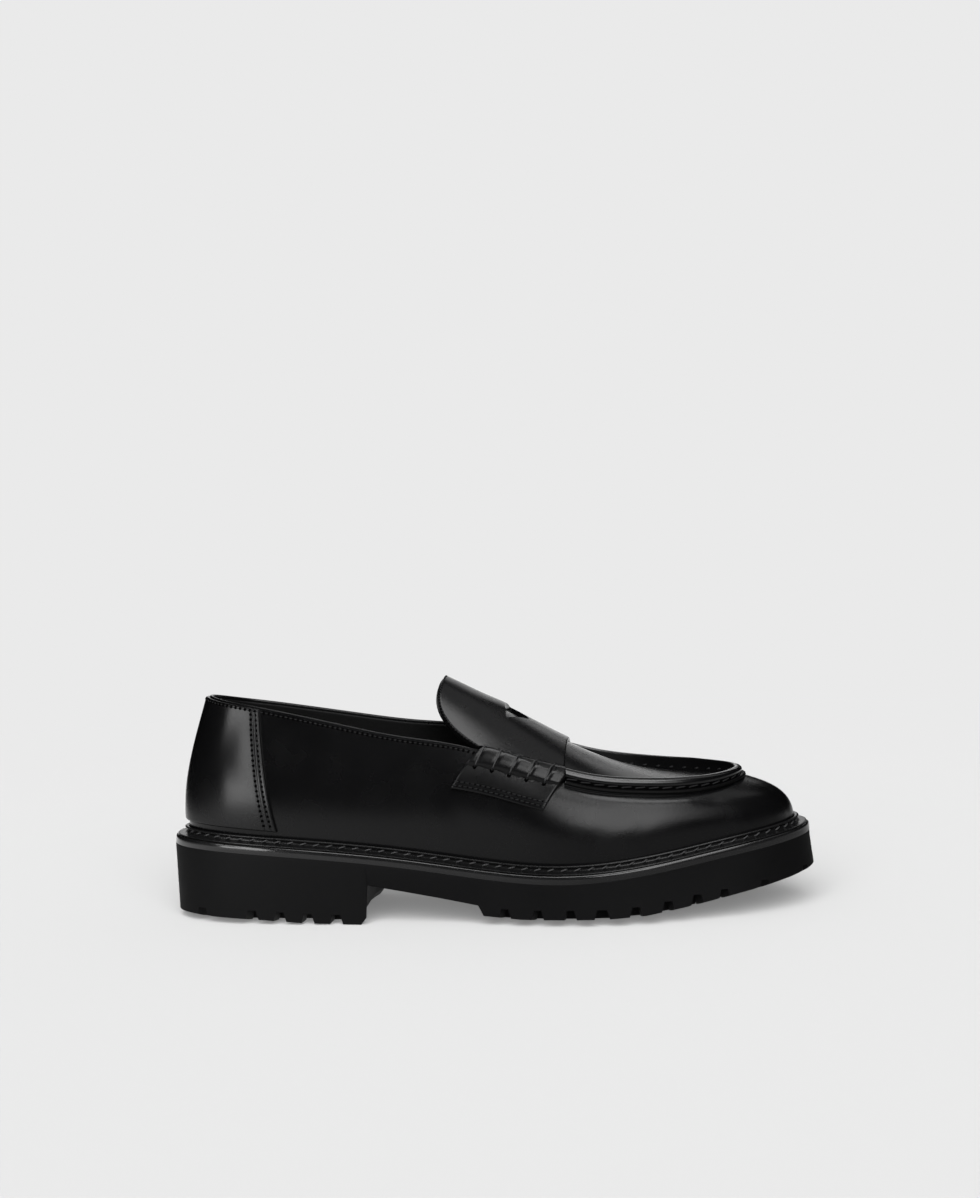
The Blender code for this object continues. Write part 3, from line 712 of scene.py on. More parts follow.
def burnished(name, colour, roughness):
    """Dyed and burnished layers, with fine lines along the edge."""
    made, tree, shader = finish_of(
        name, colour, roughness, Coat_Weight=0.8, Coat_Roughness=0.16, Specular_IOR_Level=0.8
    )
    place = own_place(tree)
    drawn = node(tree, "ShaderNodeMapping", {"Vector": place, "Scale": (60.0, 60.0, 1400.0)})
    lines = noise(tree, drawn.outputs["Vector"], 1.0, 2.0)
    slow = noise(tree, place, 70.0, 3.0)
    vary(tree, shader, slow, colour, 0.25, roughness, 0.05)
    bumped(tree, shader, [(slow, 0.15, 0.0005), (lines, 0.22, 0.00015)])
    return made


def thread(name, colour, twist, roughness=0.42):
    """Waxed thread with slanting plies."""
    made, tree, shader = finish_of(name, colour, roughness, Specular_IOR_Level=0.3)
    links = {"Vector": own_place(tree), "Scale": 1 / twist, "Distortion": 1.5, "Detail": 1.0}
    ply = node(tree, "ShaderNodeTexWave", links, bands_direction="DIAGONAL").outputs["Fac"]
    vary(tree, shader, ply, colour, 0.35, roughness, 0.06)
    bumped(tree, shader, [(ply, 0.4, 0.0002)])
    return made


def dull(name, grey, roughness, shine):
    """A plain dark finish with no pattern."""
    return finish_of(name, (grey, grey, grey), roughness, Specular_IOR_Level=shine)[0]


FINISHES = {}


def finish(name):
    """A finish by its own name, made from the settings when it is first asked for."""
    if name not in FINISHES:
        tone = bpy.context.scene.loafer_finish
        grain = tone.grain
        makers = {
            "calf": lambda: leather("black_calf", tone.calf, tone.calf_roughness, grain, 0.00014, 0.22),
            "fold": lambda: leather("black_fold", tone.calf, 0.18, grain, 0.0001, 1.0, 0.8),
            "edge": lambda: burnished("black_edge", tone.edge, tone.edge_roughness),
            "welt": lambda: leather("black_welt", tone.edge, 0.27, 1.3 * grain, 0.0002, 0.15),
            "rubber": lambda: rubber("black_rubber", tone.rubber, tone.rubber_roughness),
            "lining": lambda: leather("black_lining", tone.lining, 0.6, 1.6 * grain, 0.0002, 0.0),
            "thread": lambda: thread("black_thread", tone.thread, 0.0006),
            "cord": lambda: thread("black_cord", tone.cord, 0.0011),
            # A matt near-black that paints shade: it covers the apron seam's lip so that the band below
            # the roll reads dark
            "matt_shade": lambda: dull("black_wax", 0.001, 0.5, 0.12),
            # A glossless near-black that paints shade: on the needle and wrap holes, drawn as flat pits,
            # and on the cord in the apron seam's groove
            "hole": lambda: dull("needle_hole", 0.0006, 0.9, 0.0),
        }
        FINISHES[name] = makers[name]()
    return FINISHES[name]


# Stitching with geometry nodes


def tree_of(name, inputs):
    """An empty geometry tree with named inputs: (name, socket kind, default) rows."""
    tree = bpy.data.node_groups.new(name, "GeometryNodeTree")
    tree.interface.new_socket("Geometry", in_out="INPUT", socket_type="NodeSocketGeometry")
    for label, kind, value in inputs:
        socket = tree.interface.new_socket(label, in_out="INPUT", socket_type=kind)
        if value is not None:
            socket.default_value = value
    tree.interface.new_socket("Geometry", in_out="OUTPUT", socket_type="NodeSocketGeometry")
    start, end = tree.nodes.new("NodeGroupInput"), tree.nodes.new("NodeGroupOutput")
    return tree, start.outputs, end.inputs["Geometry"]


def closing(tree, shape, surface, end):
    """Ends a geometry tree: instances made real, shaded smooth, with their material."""
    real = node(tree, "GeometryNodeRealizeInstances", {"Geometry": shape})
    soft = node(tree, "GeometryNodeSetShadeSmooth", {"Geometry": real.outputs["Geometry"]})
    done = node(
        tree, "GeometryNodeSetMaterial", {"Geometry": soft.outputs["Geometry"], "Material": surface}
    )
    tree.links.new(done.outputs["Geometry"], end)


def laid_points(tree, given, pitch):
    """Evenly spaced points along the given wires, and the turn that lays an instance there."""
    wire = node(tree, "GeometryNodeMeshToCurve", {"Mesh": given})
    links = {"Curve": wire.outputs["Curve"], "Length": pitch}
    even = node(tree, "GeometryNodeResampleCurve", links, mode="LENGTH")
    out = node(tree, "GeometryNodeInputNamedAttribute", {}, data_type="FLOAT_VECTOR")
    out.inputs["Name"].default_value = OUTWARD
    along = node(tree, "GeometryNodeInputTangent")
    turn = node(
        tree,
        "FunctionNodeAxesToRotation",
        {"Primary Axis": out.outputs["Attribute"], "Secondary Axis": along.outputs["Tangent"]},
        primary_axis="Z",
        secondary_axis="X",
    )
    return even.outputs["Curve"], turn.outputs["Rotation"]


def round_tube(tree, curve, thickness, sides):
    """A round thread of a thickness along a curve."""
    links = {"Resolution": sides, "Radius": times(tree, thickness, 0.5)}
    ring = node(tree, "GeometryNodeCurvePrimitiveCircle", links)
    links = {"Curve": curve, "Profile Curve": ring.outputs["Curve"], "Fill Caps": True}
    return node(tree, "GeometryNodeCurveToMesh", links).outputs["Mesh"]


def set_out(tree, points, shape, turn):
    """A shape set out on points, each turned as its place asks."""
    links = {"Points": points, "Instance": shape, "Rotation": turn}
    return node(tree, "GeometryNodeInstanceOnPoints", links).outputs["Instances"]


# The attribute with a wire's outward directions
OUTWARD = "out"

# A stitch's arch, in shares of the thread's thickness and, for its shoulders, of its half length,
# and the usual length of a stitch as a share of its pitch
STITCH_SINK, STITCH_CREST, STITCH_SHOULDER = 0.55, 0.35, 0.75
STITCH_SHARE = 0.74


def stitch_tree():
    """Threads laid along wires: arched stitches at a pitch, slanted in their row."""
    tree, given, end = tree_of(
        "laid_stitches",
        [
            ("Pitch", "NodeSocketFloat", 0.0025),
            ("Length", "NodeSocketFloat", 0.002),
            ("Thickness", "NodeSocketFloat", 0.0005),
            ("Slant", "NodeSocketFloat", 0.0),
            ("Material", "NodeSocketMaterial", None),
        ],
    )
    points, turn = laid_points(tree, given["Geometry"], given["Pitch"])
    half = times(tree, given["Length"], 0.5)
    sunk = times(tree, given["Thickness"], -STITCH_SINK)
    crest = times(tree, given["Thickness"], STITCH_CREST)
    corners = (
        ("Start", -1.0, sunk),
        ("Start Handle", -STITCH_SHOULDER, crest),
        ("End Handle", STITCH_SHOULDER, crest),
        ("End", 1.0, sunk),
    )
    ends = {"Resolution": 7}
    for label, share, height in corners:
        links = {"X": times(tree, half, share), "Z": height}
        ends[label] = node(tree, "ShaderNodeCombineXYZ", links).outputs[0]
    arch = node(tree, "GeometryNodeCurvePrimitiveBezierSegment", ends, mode="POSITION")
    stitch = round_tube(tree, arch.outputs["Curve"], given["Thickness"], 7)
    lean = node(tree, "ShaderNodeCombineXYZ", {"Z": given["Slant"]})
    links = {"Rotation": turn, "Rotate By": lean.outputs[0]}
    slanted = node(tree, "FunctionNodeRotateRotation", links, rotation_space="LOCAL")
    placed = set_out(tree, points, stitch, slanted.outputs["Rotation"])
    closing(tree, placed, given["Material"], end)
    return tree


def hole_tree():
    """Needle holes between stitches: small flat pits at a pitch; given the matt black finish they paint
    the holes' shade.
    """
    tree, given, end = tree_of(
        "needle_holes",
        [
            ("Pitch", "NodeSocketFloat", 0.0025),
            ("Radius", "NodeSocketFloat", 0.0004),
            ("Flat", "NodeSocketFloat", 0.2),
            ("Material", "NodeSocketMaterial", None),
        ],
    )
    points, turn = laid_points(tree, given["Geometry"], given["Pitch"])
    press = node(tree, "ShaderNodeCombineXYZ", {"X": 1.0, "Y": 1.0, "Z": given["Flat"]}).outputs[0]
    pit = node(tree, "GeometryNodeMeshUVSphere", {"Segments": 8, "Rings": 4, "Radius": given["Radius"]})
    flat = node(tree, "GeometryNodeTransform", {"Geometry": pit.outputs["Mesh"], "Scale": press})
    placed = set_out(tree, points, flat.outputs["Geometry"], turn)
    closing(tree, placed, given["Material"], end)
    return tree


def cord_tree():
    """A round cord along each wire."""
    tree, given, end = tree_of(
        "round_cords",
        [("Thickness", "NodeSocketFloat", 0.001), ("Material", "NodeSocketMaterial", None)],
    )
    wire = node(tree, "GeometryNodeMeshToCurve", {"Mesh": given["Geometry"]})
    cord = round_tube(tree, wire.outputs["Curve"], given["Thickness"], 10)
    closing(tree, cord, given["Material"], end)
    return tree


TREES = {}
TREE_MAKERS = {"stitch": stitch_tree, "hole": hole_tree, "cord": cord_tree}


def sew(name, kind, paths, **inputs):
    """A piece made by a geometry tree along paths of points with their outward directions."""
    points, edges, outs = [], [], []
    for line, out in paths:
        first = len(points)
        points.extend((np.asarray(line) * MM).tolist())
        outs.extend(np.asarray(out).tolist())
        edges.extend((first + i, first + i + 1) for i in range(len(line) - 1))
    mesh = bpy.data.meshes.new(name)
    mesh.from_pydata(points, edges, [])
    lie = mesh.attributes.new(OUTWARD, "FLOAT_VECTOR", "POINT")
    lie.data.foreach_set("vector", np.asarray(outs, np.float32).ravel())
    made = bpy.data.objects.new(name, mesh)
    bpy.context.scene.collection.objects.link(made)
    if kind not in TREES:
        TREES[kind] = TREE_MAKERS[kind]()
    worker = made.modifiers.new("sewing", "NODES")
    worker.node_group = TREES[kind]
    for item in TREES[kind].interface.items_tree:
        key = item.name.lower()
        if item.in_out == "INPUT" and key in inputs:
            worker[item.identifier] = inputs[key]
    bake(made)
    if not made.data.polygons:
        raise RuntimeError(f"{name} has no faces")
    if OUTWARD in made.data.attributes:
        made.data.attributes.remove(made.data.attributes[OUTWARD])
    return dress(made)


# Settings


class LoaferFinish(bpy.types.PropertyGroup):
    """Colours and gloss of the loafer's materials."""

    calf: FloatVectorProperty(
        name="Calf", description="Colour of the upper's leather",
        subtype="COLOR", default=(0.0013, 0.0013, 0.0014),
    )
    calf_roughness: FloatProperty(
        name="Calf roughness", description="Roughness of the upper's leather", default=0.26, min=0, max=1
    )
    grain: FloatProperty(
        name="Grain", description="Size of one cell of the leather's grain", default=0.0008, unit="LENGTH"
    )
    edge: FloatVectorProperty(
        name="Edge", description="Colour of the welt and midsole",
        subtype="COLOR", default=(0.003, 0.003, 0.0031),
    )
    edge_roughness: FloatProperty(
        name="Edge roughness", description="Roughness of the midsole edge", default=0.2, min=0, max=1
    )
    rubber: FloatVectorProperty(
        name="Rubber", description="Colour of the outsole",
        subtype="COLOR", default=(0.0013, 0.0013, 0.0014),
    )
    rubber_roughness: FloatProperty(
        name="Rubber roughness", description="Roughness of the outsole", default=0.6, min=0, max=1
    )
    lining: FloatVectorProperty(
        name="Lining", description="Colour of the lining and sock",
        subtype="COLOR", default=(0.001, 0.001, 0.001),
    )
    thread: FloatVectorProperty(
        name="Thread", description="Colour of the fine thread",
        subtype="COLOR", default=(0.006, 0.006, 0.0063),
    )
    cord: FloatVectorProperty(
        name="Cord", description="Colour of the thick waxed thread",
        subtype="COLOR", default=(0.022, 0.022, 0.0225),
    )


class LoaferStitching(bpy.types.PropertyGroup):
    """Sizes of the loafer's stitches."""

    fine_pitch: FloatProperty(
        name="Fine pitch", description="Spacing of the fine stitches", default=0.0024, unit="LENGTH"
    )
    fine_thickness: FloatProperty(
        name="Fine thickness", description="Thickness of the fine thread", default=0.00055, unit="LENGTH"
    )
    welt_pitch: FloatProperty(
        name="Welt pitch", description="Spacing of the welt's stitches", default=0.0062, unit="LENGTH"
    )
    welt_length: FloatProperty(
        name="Welt stitch", description="Length of one stitch on the welt", default=0.0028, unit="LENGTH"
    )
    welt_thickness: FloatProperty(
        name="Welt thickness", description="Thickness of the welt's thread", default=0.0008, unit="LENGTH"
    )
    apron_pitch: FloatProperty(
        name="Apron pitch", description="Spacing of the apron seam's stitches",
        default=0.0064, unit="LENGTH",
    )
    wraps: IntProperty(
        name="Wraps", description="Thread wraps over each roll of the saddle", default=5, min=0
    )
    wrap_pitch: FloatProperty(
        name="Wrap pitch", description="Spacing of the wraps", default=0.00795, unit="LENGTH"
    )
    wrap_thickness: FloatProperty(
        name="Wrap thickness", description="Thickness of the wraps' thread", default=0.0006, unit="LENGTH"
    )


class LoaferStage(bpy.types.PropertyGroup):
    """Floor, light and camera."""

    floor: FloatVectorProperty(
        name="Floor", description="Colour of the floor", subtype="COLOR", default=(0.362, 0.362, 0.362)
    )
    glow: FloatProperty(name="Glow", description="The floor's own light", default=0.012, min=0)
    floor_gloss: FloatProperty(
        name="Floor in gloss", description="The floor's brightness in the leather's gloss",
        default=0.5, min=0,
    )
    horizon: FloatProperty(
        name="Horizon", description="Brightness of the backdrop", default=0.8228, min=0
    )
    room: FloatProperty(
        name="Room", description="The tent's even light on the floor", default=0.39, min=0
    )
    fill: FloatProperty(
        name="Fill", description="Light on the floor that casts no shadow", default=1.4, min=0
    )
    distance: FloatProperty(
        name="Distance", description="Camera's distance from the shoe", default=1.1, unit="LENGTH"
    )


# Pieces


# The apron's facing is read just inside its seam and just short of the toe, where it narrows to a line
NEAR_SEAM = 0.999
NEAR_TOE = TOE - 0.03


def seat_direction(at):
    """Where the wall meets the apron: the direction halfway between the two faces."""
    side = np.where(at % LOOP <= TOE, -NEAR_SEAM, NEAR_SEAM)
    across = facing(apron, np.minimum(station_of(at), NEAR_TOE), side)
    return unit(facing(wall, at, np.ones(len(at))) + across)


class LOAFER_OT_upper(bpy.types.Operator):
    """Vamp, quarters, apron and tongue as one wall with a rounded collar, and its lining"""

    bl_idname = "loafer.upper"
    bl_label = "Upper"

    def execute(self, context):
        self.shell(finish("calf"))
        self.lining(finish("lining"))
        return {"FINISHED"}

    def shell(self, surface):
        """The outer leather: the wall all round, its lip at the collar, the apron and tongue."""
        loop = both_sides(COLUMNS)
        free = station_of(loop) < THROAT - 1e-6
        top = np.where(free, 1 - 0.5 * CALF / climb_at_top(loop), 1.0)
        ups = WALL_ROWS[:, None] * top[None, :]
        outer = skin(loop[None, :], ups)
        out = facing(wall, loop[None, :], ups)
        out[-1, ~free] = seat_direction(loop[~free])
        made = Patches()
        outside = made.add(outer, closed=True)
        inside = made.add(outer - out * CALF, closed=True)
        made.join(outside, inside, len(loop), closed=True)
        made.add(self.lip(outer, out[-1]), closed=True, kept=free | np.roll(free, -1))
        rungs = COLUMNS[COLUMNS >= THROAT - 1e-6]
        over = apron(rungs[:, None], ACROSS[None, :])
        out = facing(apron, np.minimum(rungs, NEAR_TOE)[:, None], ACROSS[None, :])
        out[:, 0] = seat_direction(rungs)
        out[:, -1] = seat_direction(LOOP - rungs)
        out[-1] = seat_direction(np.array([float(TOE)]))
        above = made.add(over)
        below = made.add(over - out * CALF)
        made.join(above, below, len(ACROSS))
        shell = solid("upper_leather", made.points, made.faces, surface)
        dress(shell, "upper_leather", "upper")

    def lip(self, outer, out):
        """The rounded edge over the wall's top, from its outer to its inner side."""
        climb = unit(outer[-1] - outer[-2])
        middle = outer[-1] - out * CALF / 2
        bends = np.radians([0, 25, 50, 75, 105, 130, 155, 180])
        return np.stack([middle + (out * np.cos(a) + climb * np.sin(a)) * CALF / 2 for a in bends])

    def lining(self, surface):
        """The lining behind the quarters, from just below the collar down to the sock."""
        stations = COLUMNS[COLUMNS <= STRAP_FRONT]
        loop = np.concatenate([-stations[:0:-1], stations])
        top = 1 - LINING_DROP / climb_at_top(loop)
        ups = edge_shares(26, LINING_RISE, 1.0)[:, None] * top[None, :]
        base = skin(loop[None, :], ups)
        out = facing(wall, loop[None, :], ups)
        face = base - out * (CALF + LINING_CLEARANCE)
        thick = LINING * cut_edge(edge_distance(face), 0.6, 0.2)[..., None]
        dress(sheet_solid("quarter_lining", face, face - out * thick, surface), "lining_leather")


def counter_seam(ups):
    """The station of the heel counter's front edge at a height."""
    return 2.34 - 0.40 * np.asarray(ups) ** 0.8


# The counter's lower and upper edge as shares of the wall, its seat, height and length round the heel,
# its stitch rows from the front edge, and the leather's puff between the rows and sink at each
COUNTER_LOW, COUNTER_HIGH = 0.1, 0.985
COUNTER_SEAT, COUNTER_RISE, COUNTER_GIRTH = 0.1, 62.0, 150.0
COUNTER_ROWS = (2.0, 4.5)
PUFF, PUFF_WIDTH = 0.14, 0.8
SINK, SINK_WIDTH = 0.16, 0.45


class LOAFER_OT_counter(bpy.types.Operator):
    """The heel counter, laid over the back of the quarters, with rounded cut edges"""

    bl_idname = "loafer.counter"
    bl_label = "Heel counter"

    def execute(self, context):
        ups = COUNTER_LOW + (COUNTER_HIGH - COUNTER_LOW) * edge_shares(30, COUNTER_RISE)
        close = np.concatenate([[0, 0.1, 0.25, 0.5, 0.8], np.arange(1.1, 5.0, 0.3)]) / COUNTER_GIRTH
        middle = np.linspace(close[-1], 1 - close[-1], 110)[1:-1]
        shares = 2 * np.concatenate([close, middle, 1 - close[::-1]]) - 1
        at = shares[None, :] * counter_seam(ups)[:, None]
        base = wall(at, ups[:, None])
        out = facing(wall, at, ups[:, None])
        front = np.minimum(1 + shares, 1 - shares) * COUNTER_GIRTH / 2
        quilt = PUFF * hump(front - np.mean(COUNTER_ROWS), PUFF_WIDTH)
        for row in COUNTER_ROWS:
            quilt = quilt - SINK * hump(front - row, SINK_WIDTH)
        thick = (COUNTER * cut_edge(edge_distance(base), 0.8) + quilt[None, :])[..., None]
        inner, outer = base + out * COUNTER_SEAT, base + out * (GAP + thick)
        piece = sheet_solid("heel_counter_leather", inner, outer, finish("calf"))
        dress(piece, "upper_leather", "heel_counter")
        return {"FINISHED"}


# The saddle's tabs: their ends and tops as shares of the wall, how far their ends lie back in stations
# at the front edge and more at the back, and where the ends start to stand off, in millimetres
TAB_LOW, TAB_HIGH = 0.63, 0.995
TAB_SLANT, TAB_SLANT_MORE, TAB_CURVE = 0.24, 0.18, 0.85
TAB_FREE_FROM, TAB_FREE_RUN = 2.0, 4.0
SADDLE_SEAT = 0.15
STRAP_SHORT = 0.008

# The fold between strap and tab is eased within a reach of the roll's middle, in so many rounds
FOLD_REACH, FOLD_ROUNDS = 9.0, 10

# The lip behind the slot: its reach to the back, its start ahead, its run there and its half width
LIP_REACH, LIP_AHEAD, LIP_RUN, LIP_HALF_WIDTH = 9.0, 3.0, 2.0, 10.0

# The wraps: the first one's place, how far each leans, how far it reaches from the roll's middle,
# how much it draws the roll in, and the steps, lift and sunk ends of its thread
WRAP_FIRST_X = -3.0
WRAP_LEAN = 5.6
WRAP_REACH = ROLL_HALF_WIDTH + 0.6
WRAP_PINCH, WRAP_PINCH_WIDTH = 0.12, 0.8
WRAP_STEPS, WRAP_LIFT, WRAP_SUNK = 25, 0.30, 0.8
HOLE_LIFT = 0.1

# Stitch rows of the saddle: from the tabs' lower edge, from their ends and from the tongue's edge
TAB_ROWS = (1.9, 3.9)
TAB_ROW_END = 1.8
TAB_HOLE_LIFT = 0.02
TONGUE_ROW = 1.3
TONGUE_CLEAR = 1.0

# The slot's cutter: its height span, and its corners with how far off each one's rounding starts
SLOT_CUT = (60.0, 130.0)
Corner = namedtuple("Corner", "x y trim")
SLOT_CORNERS = [
    Corner(SLOT_BACK_X + SLOT_SWEEP, SLOT_MIDDLE_Y - SLOT_OUTER, 1.5),
    Corner(SLOT_BACK_X + SLOT_LENGTH, SLOT_MIDDLE_Y, 5.0),
    Corner(SLOT_BACK_X + SLOT_SWEEP, SLOT_MIDDLE_Y + SLOT_INNER, 1.5),
    Corner(SLOT_BACK_X, SLOT_MIDDLE_Y, 6.0),
]


class SaddleShape:
    """The saddle as a fine grid, front to back by outer tab to inner tab, in millimetres."""

    def __init__(self):
        length = (TOP_X(STRAP_FRONT) - TOP_X(THROAT)) * LENGTH_PER_CENT
        back = edge_shares(96, float(length))
        stations = STRAP_FRONT - (STRAP_FRONT - THROAT - STRAP_SHORT) * back
        close = np.array([0.0, 0.1, 0.25, 0.5, 0.9, 1.4]) / WALL_RISE
        ups = np.concatenate([TAB_LOW + close, np.linspace(TAB_LOW + 0.04, TAB_HIGH, 34)])
        slant = -(TAB_SLANT + TAB_SLANT_MORE * back)
        drop = ((1 - ups) / (1 - TAB_LOW)) ** TAB_CURVE
        tab = stations[:, None] + slant[:, None] * drop[None, :]
        lift = np.broadcast_to(ups[None, :], tab.shape)
        strap = apron(stations[:, None], ACROSS[None, :])
        self.base = np.concatenate([wall(tab, lift), strap, wall(LOOP - tab, lift)[:, ::-1]], axis=1)
        self.stations = stations
        outer_seam, inner_seam = len(ups), len(ups) + len(ACROSS) - 1
        steps = np.linalg.norm(np.diff(self.base, axis=1), axis=-1)
        walked = np.concatenate([np.zeros((len(back), 1)), np.cumsum(steps, axis=1)], axis=1)
        middle = (ROLL_FRONT + (ROLL_BACK - ROLL_FRONT) * back)[:, None]
        self.from_outer = walked - walked[:, [outer_seam]] - middle
        self.from_inner = walked[:, [inner_seam]] - walked - middle
        self.out = self.directions()

    def from_roll(self):
        """The distance from the nearest roll's middle, below 0 on the tab's side."""
        nearer = np.abs(self.from_outer) < np.abs(self.from_inner)
        return np.where(nearer, self.from_outer, self.from_inner)

    def directions(self):
        """Outward directions, eased over the fold between strap and tab."""
        eased = unit(np.cross(np.gradient(self.base, axis=1), np.gradient(self.base, axis=0)))
        near = np.abs(self.from_roll()) < FOLD_REACH
        for _ in range(FOLD_ROUNDS):
            blurred = eased.copy()
            blurred[:, 1:-1] = unit(eased[:, :-2] + 2 * eased[:, 1:-1] + eased[:, 2:])
            eased = np.where(near[..., None], blurred, eased)
        return eased

    def rolls(self, wraps, pitch):
        """Height of the roll over each seam, drawn in where the thread wraps it."""
        across = self.from_roll()
        roll = ROLL_HEIGHT * np.sqrt(np.clip(1 - (across / ROLL_HALF_WIDTH) ** 2, 0, None))
        place = self.base[..., 0] - WRAP_FIRST_X - WRAP_LEAN * (across / WRAP_REACH + 1) / 2
        index = np.clip(np.round(place / pitch), 0, wraps - 1)
        return roll * (1 - WRAP_PINCH * hump(place - index * pitch, WRAP_PINCH_WIDTH))

    def lifted(self, wraps, pitch):
        """The saddle's outer face."""
        thick = SADDLE * cut_edge(edge_distance(self.base), 0.9)
        height = GAP + thick + self.rolls(wraps, pitch) + self.stiffness()
        return self.base + self.out * height[..., None]

    def stiffness(self):
        """How far the tabs' ends and the lip behind the slot stand off."""
        along = np.linspace(-1, 1, len(self.stations))[:, None]
        below = -np.minimum(self.from_outer, self.from_inner) - TAB_FREE_FROM
        ends = TAB_STAND_OFF * along**2 * ease(below / TAB_FREE_RUN)
        x, y = self.base[..., 0], self.base[..., 1]
        behind = hump(np.clip(SLOT_BACK_X - x, 0, None), LIP_REACH)
        ahead = np.clip((SLOT_BACK_X + LIP_AHEAD - x) / LIP_RUN, 0, 1)
        lip = SLOT_LIP * behind * ahead * np.exp(-(((y - SLOT_MIDDLE_Y) / LIP_HALF_WIDTH) ** 4))
        return ends + lip


class LOAFER_OT_saddle(bpy.types.Operator):
    """Strap, tongue facing and side tabs in one, with its rolls, wraps, slot and stitching"""

    bl_idname = "loafer.saddle"
    bl_label = "Saddle"

    def execute(self, context):
        sizes = context.scene.loafer_stitching
        wraps, pitch = sizes.wraps, sizes.wrap_pitch / MM
        shape = SaddleShape()
        outer = shape.lifted(wraps, pitch)
        inner = shape.base + shape.out * SADDLE_SEAT
        saddle = sheet_solid("saddle_leather", inner, outer, finish("calf"))
        cut(saddle, self.slot())
        smooth(saddle, SHARP)
        dress(saddle, "upper_leather", "saddle")
        self.wrap(shape, outer, sizes)
        self.rows(shape, outer, sizes)
        return {"FINISHED"}

    def slot(self):
        """The slot's upright prism: a shallow crescent drawn to a rounded point at the toe."""
        plan = []
        for index, corner in enumerate(SLOT_CORNERS):
            tip = np.array([corner.x, corner.y])
            ends = []
            for other in (SLOT_CORNERS[index - 1], SLOT_CORNERS[(index + 1) % len(SLOT_CORNERS)]):
                away = np.array([other.x, other.y]) - tip
                ends.append(tip + away * corner.trim / np.linalg.norm(away))
            for share in np.linspace(0, 1, 9):
                rest = 1 - share
                plan.append(rest**2 * ends[0] + 2 * share * rest * tip + share**2 * ends[1])
        points = [(*spot, z) for z in SLOT_CUT for spot in plan]
        return solid("slot_cutter", points, prism_faces(len(plan)), finish("calf"))

    def wrap(self, shape, outer, sizes):
        """Thread over each roll, from a hole in the tab to the strap's groove."""
        wires, holes, knots = [], [], []
        spots = np.linspace(-WRAP_REACH, WRAP_REACH, WRAP_STEPS)
        lift = np.full(WRAP_STEPS, WRAP_LIFT * sizes.wrap_thickness / MM)
        lift[[0, -1]] = -WRAP_SUNK
        lift[[1, -2]] = 0.0
        for walked in (shape.from_outer, shape.from_inner):
            orders = np.argsort(walked, axis=1)
            lines, outs = [
                np.array([
                    read_at(spots, places[order], row[order])
                    for places, order, row in zip(walked, orders, grid)
                ])[::-1]
                for grid in (outer, shape.out)
            ]
            for index in range(sizes.wraps):
                first = WRAP_FIRST_X + index * sizes.wrap_pitch / MM
                starts = first + WRAP_LEAN * np.linspace(0, 1, WRAP_STEPS)
                wire, lie = [
                    np.array([
                        read_at(x, lines[:, spot, 0], grid[:, spot]) for spot, x in enumerate(starts)
                    ])
                    for grid in (lines, outs)
                ]
                lie = unit(lie)
                wires.append((wire + lie * lift[:, None], lie))
                holes.append((wire[:2] + lie[:2] * HOLE_LIFT - (wire[1] - wire[0]) * 0.5, lie[:2]))
                knots.append((wire[1:3] + lie[1:3] * HOLE_LIFT, lie[1:3]))
        sew("saddle_wraps", "cord", wires, thickness=sizes.wrap_thickness, material=finish("cord"))
        sew("wrap_holes", "hole", holes, pitch=0.1, radius=0.0010, flat=0.2, material=finish("hole"))
        sew("wrap_knots", "hole", knots, pitch=0.1, radius=0.0006, flat=0.8, material=finish("thread"))

    def rows(self, shape, outer, sizes):
        """Two stitch rows along each tab's lower edge, and one round the tongue's edge."""
        thick, pitch = sizes.fine_thickness, sizes.fine_pitch
        lines, holes = [], []
        for inset in TAB_ROWS:
            for flip in (1, -1):
                walked = (shape.from_outer if flip == 1 else shape.from_inner)[:, ::flip]
                spots = walked[:, 0] + inset
                line, out = [
                    np.array([read_at(*row) for row in zip(spots, walked, grid[:, ::flip])])
                    for grid in (outer, shape.out)
                ]
                out = unit(out)
                lines.append(trimmed(line, out, TAB_ROW_END))
                holes.append(trimmed(line + out * TAB_HOLE_LIFT, out, TAB_ROW_END + 0.5 * pitch / MM))
        steps = np.linalg.norm(np.diff(outer[::-1], axis=0), axis=-1)
        from_back = np.concatenate([np.zeros((1, steps.shape[1])), np.cumsum(steps, axis=0)])
        clear = ROLL_HALF_WIDTH + TONGUE_CLEAR
        tongue = np.where(np.minimum(shape.from_outer, shape.from_inner)[-1] > clear)[0]
        edge, lie = [
            np.array([read_at(TONGUE_ROW, from_back[:, spot], grid[::-1, spot]) for spot in tongue])
            for grid in (outer, shape.out)
        ]
        sew("tab_stitches", "stitch", lines, pitch=pitch, length=STITCH_SHARE * pitch, thickness=thick,
            slant=0.12, material=finish("thread"))
        sew("tab_needle_holes", "hole", holes, pitch=pitch, radius=0.00045, flat=0.2,
            material=finish("hole"))
        sew("tongue_stitches", "stitch", [(edge, unit(lie))], pitch=0.75 * pitch,
            length=0.62 * pitch, thickness=0.9 * thick, slant=0.75, material=finish("thread"))


# The counter's rows run between two shares of the wall, with so many millimetres to a station there.
# The collar's row lies so far below the edge and keeps clear of the counter's front, in stations.
COUNTER_ROW_LOW, COUNTER_ROW_HIGH = 0.125, 0.955
COUNTER_RUN = 29.0
COUNTER_ROW_DEPTH = 0.12
COUNTER_HOLE_LIFT = 0.06
COLLAR_ROW = 2.3
COLLAR_CLEAR = 0.03
COLLAR_HOLE_LIFT = 0.03


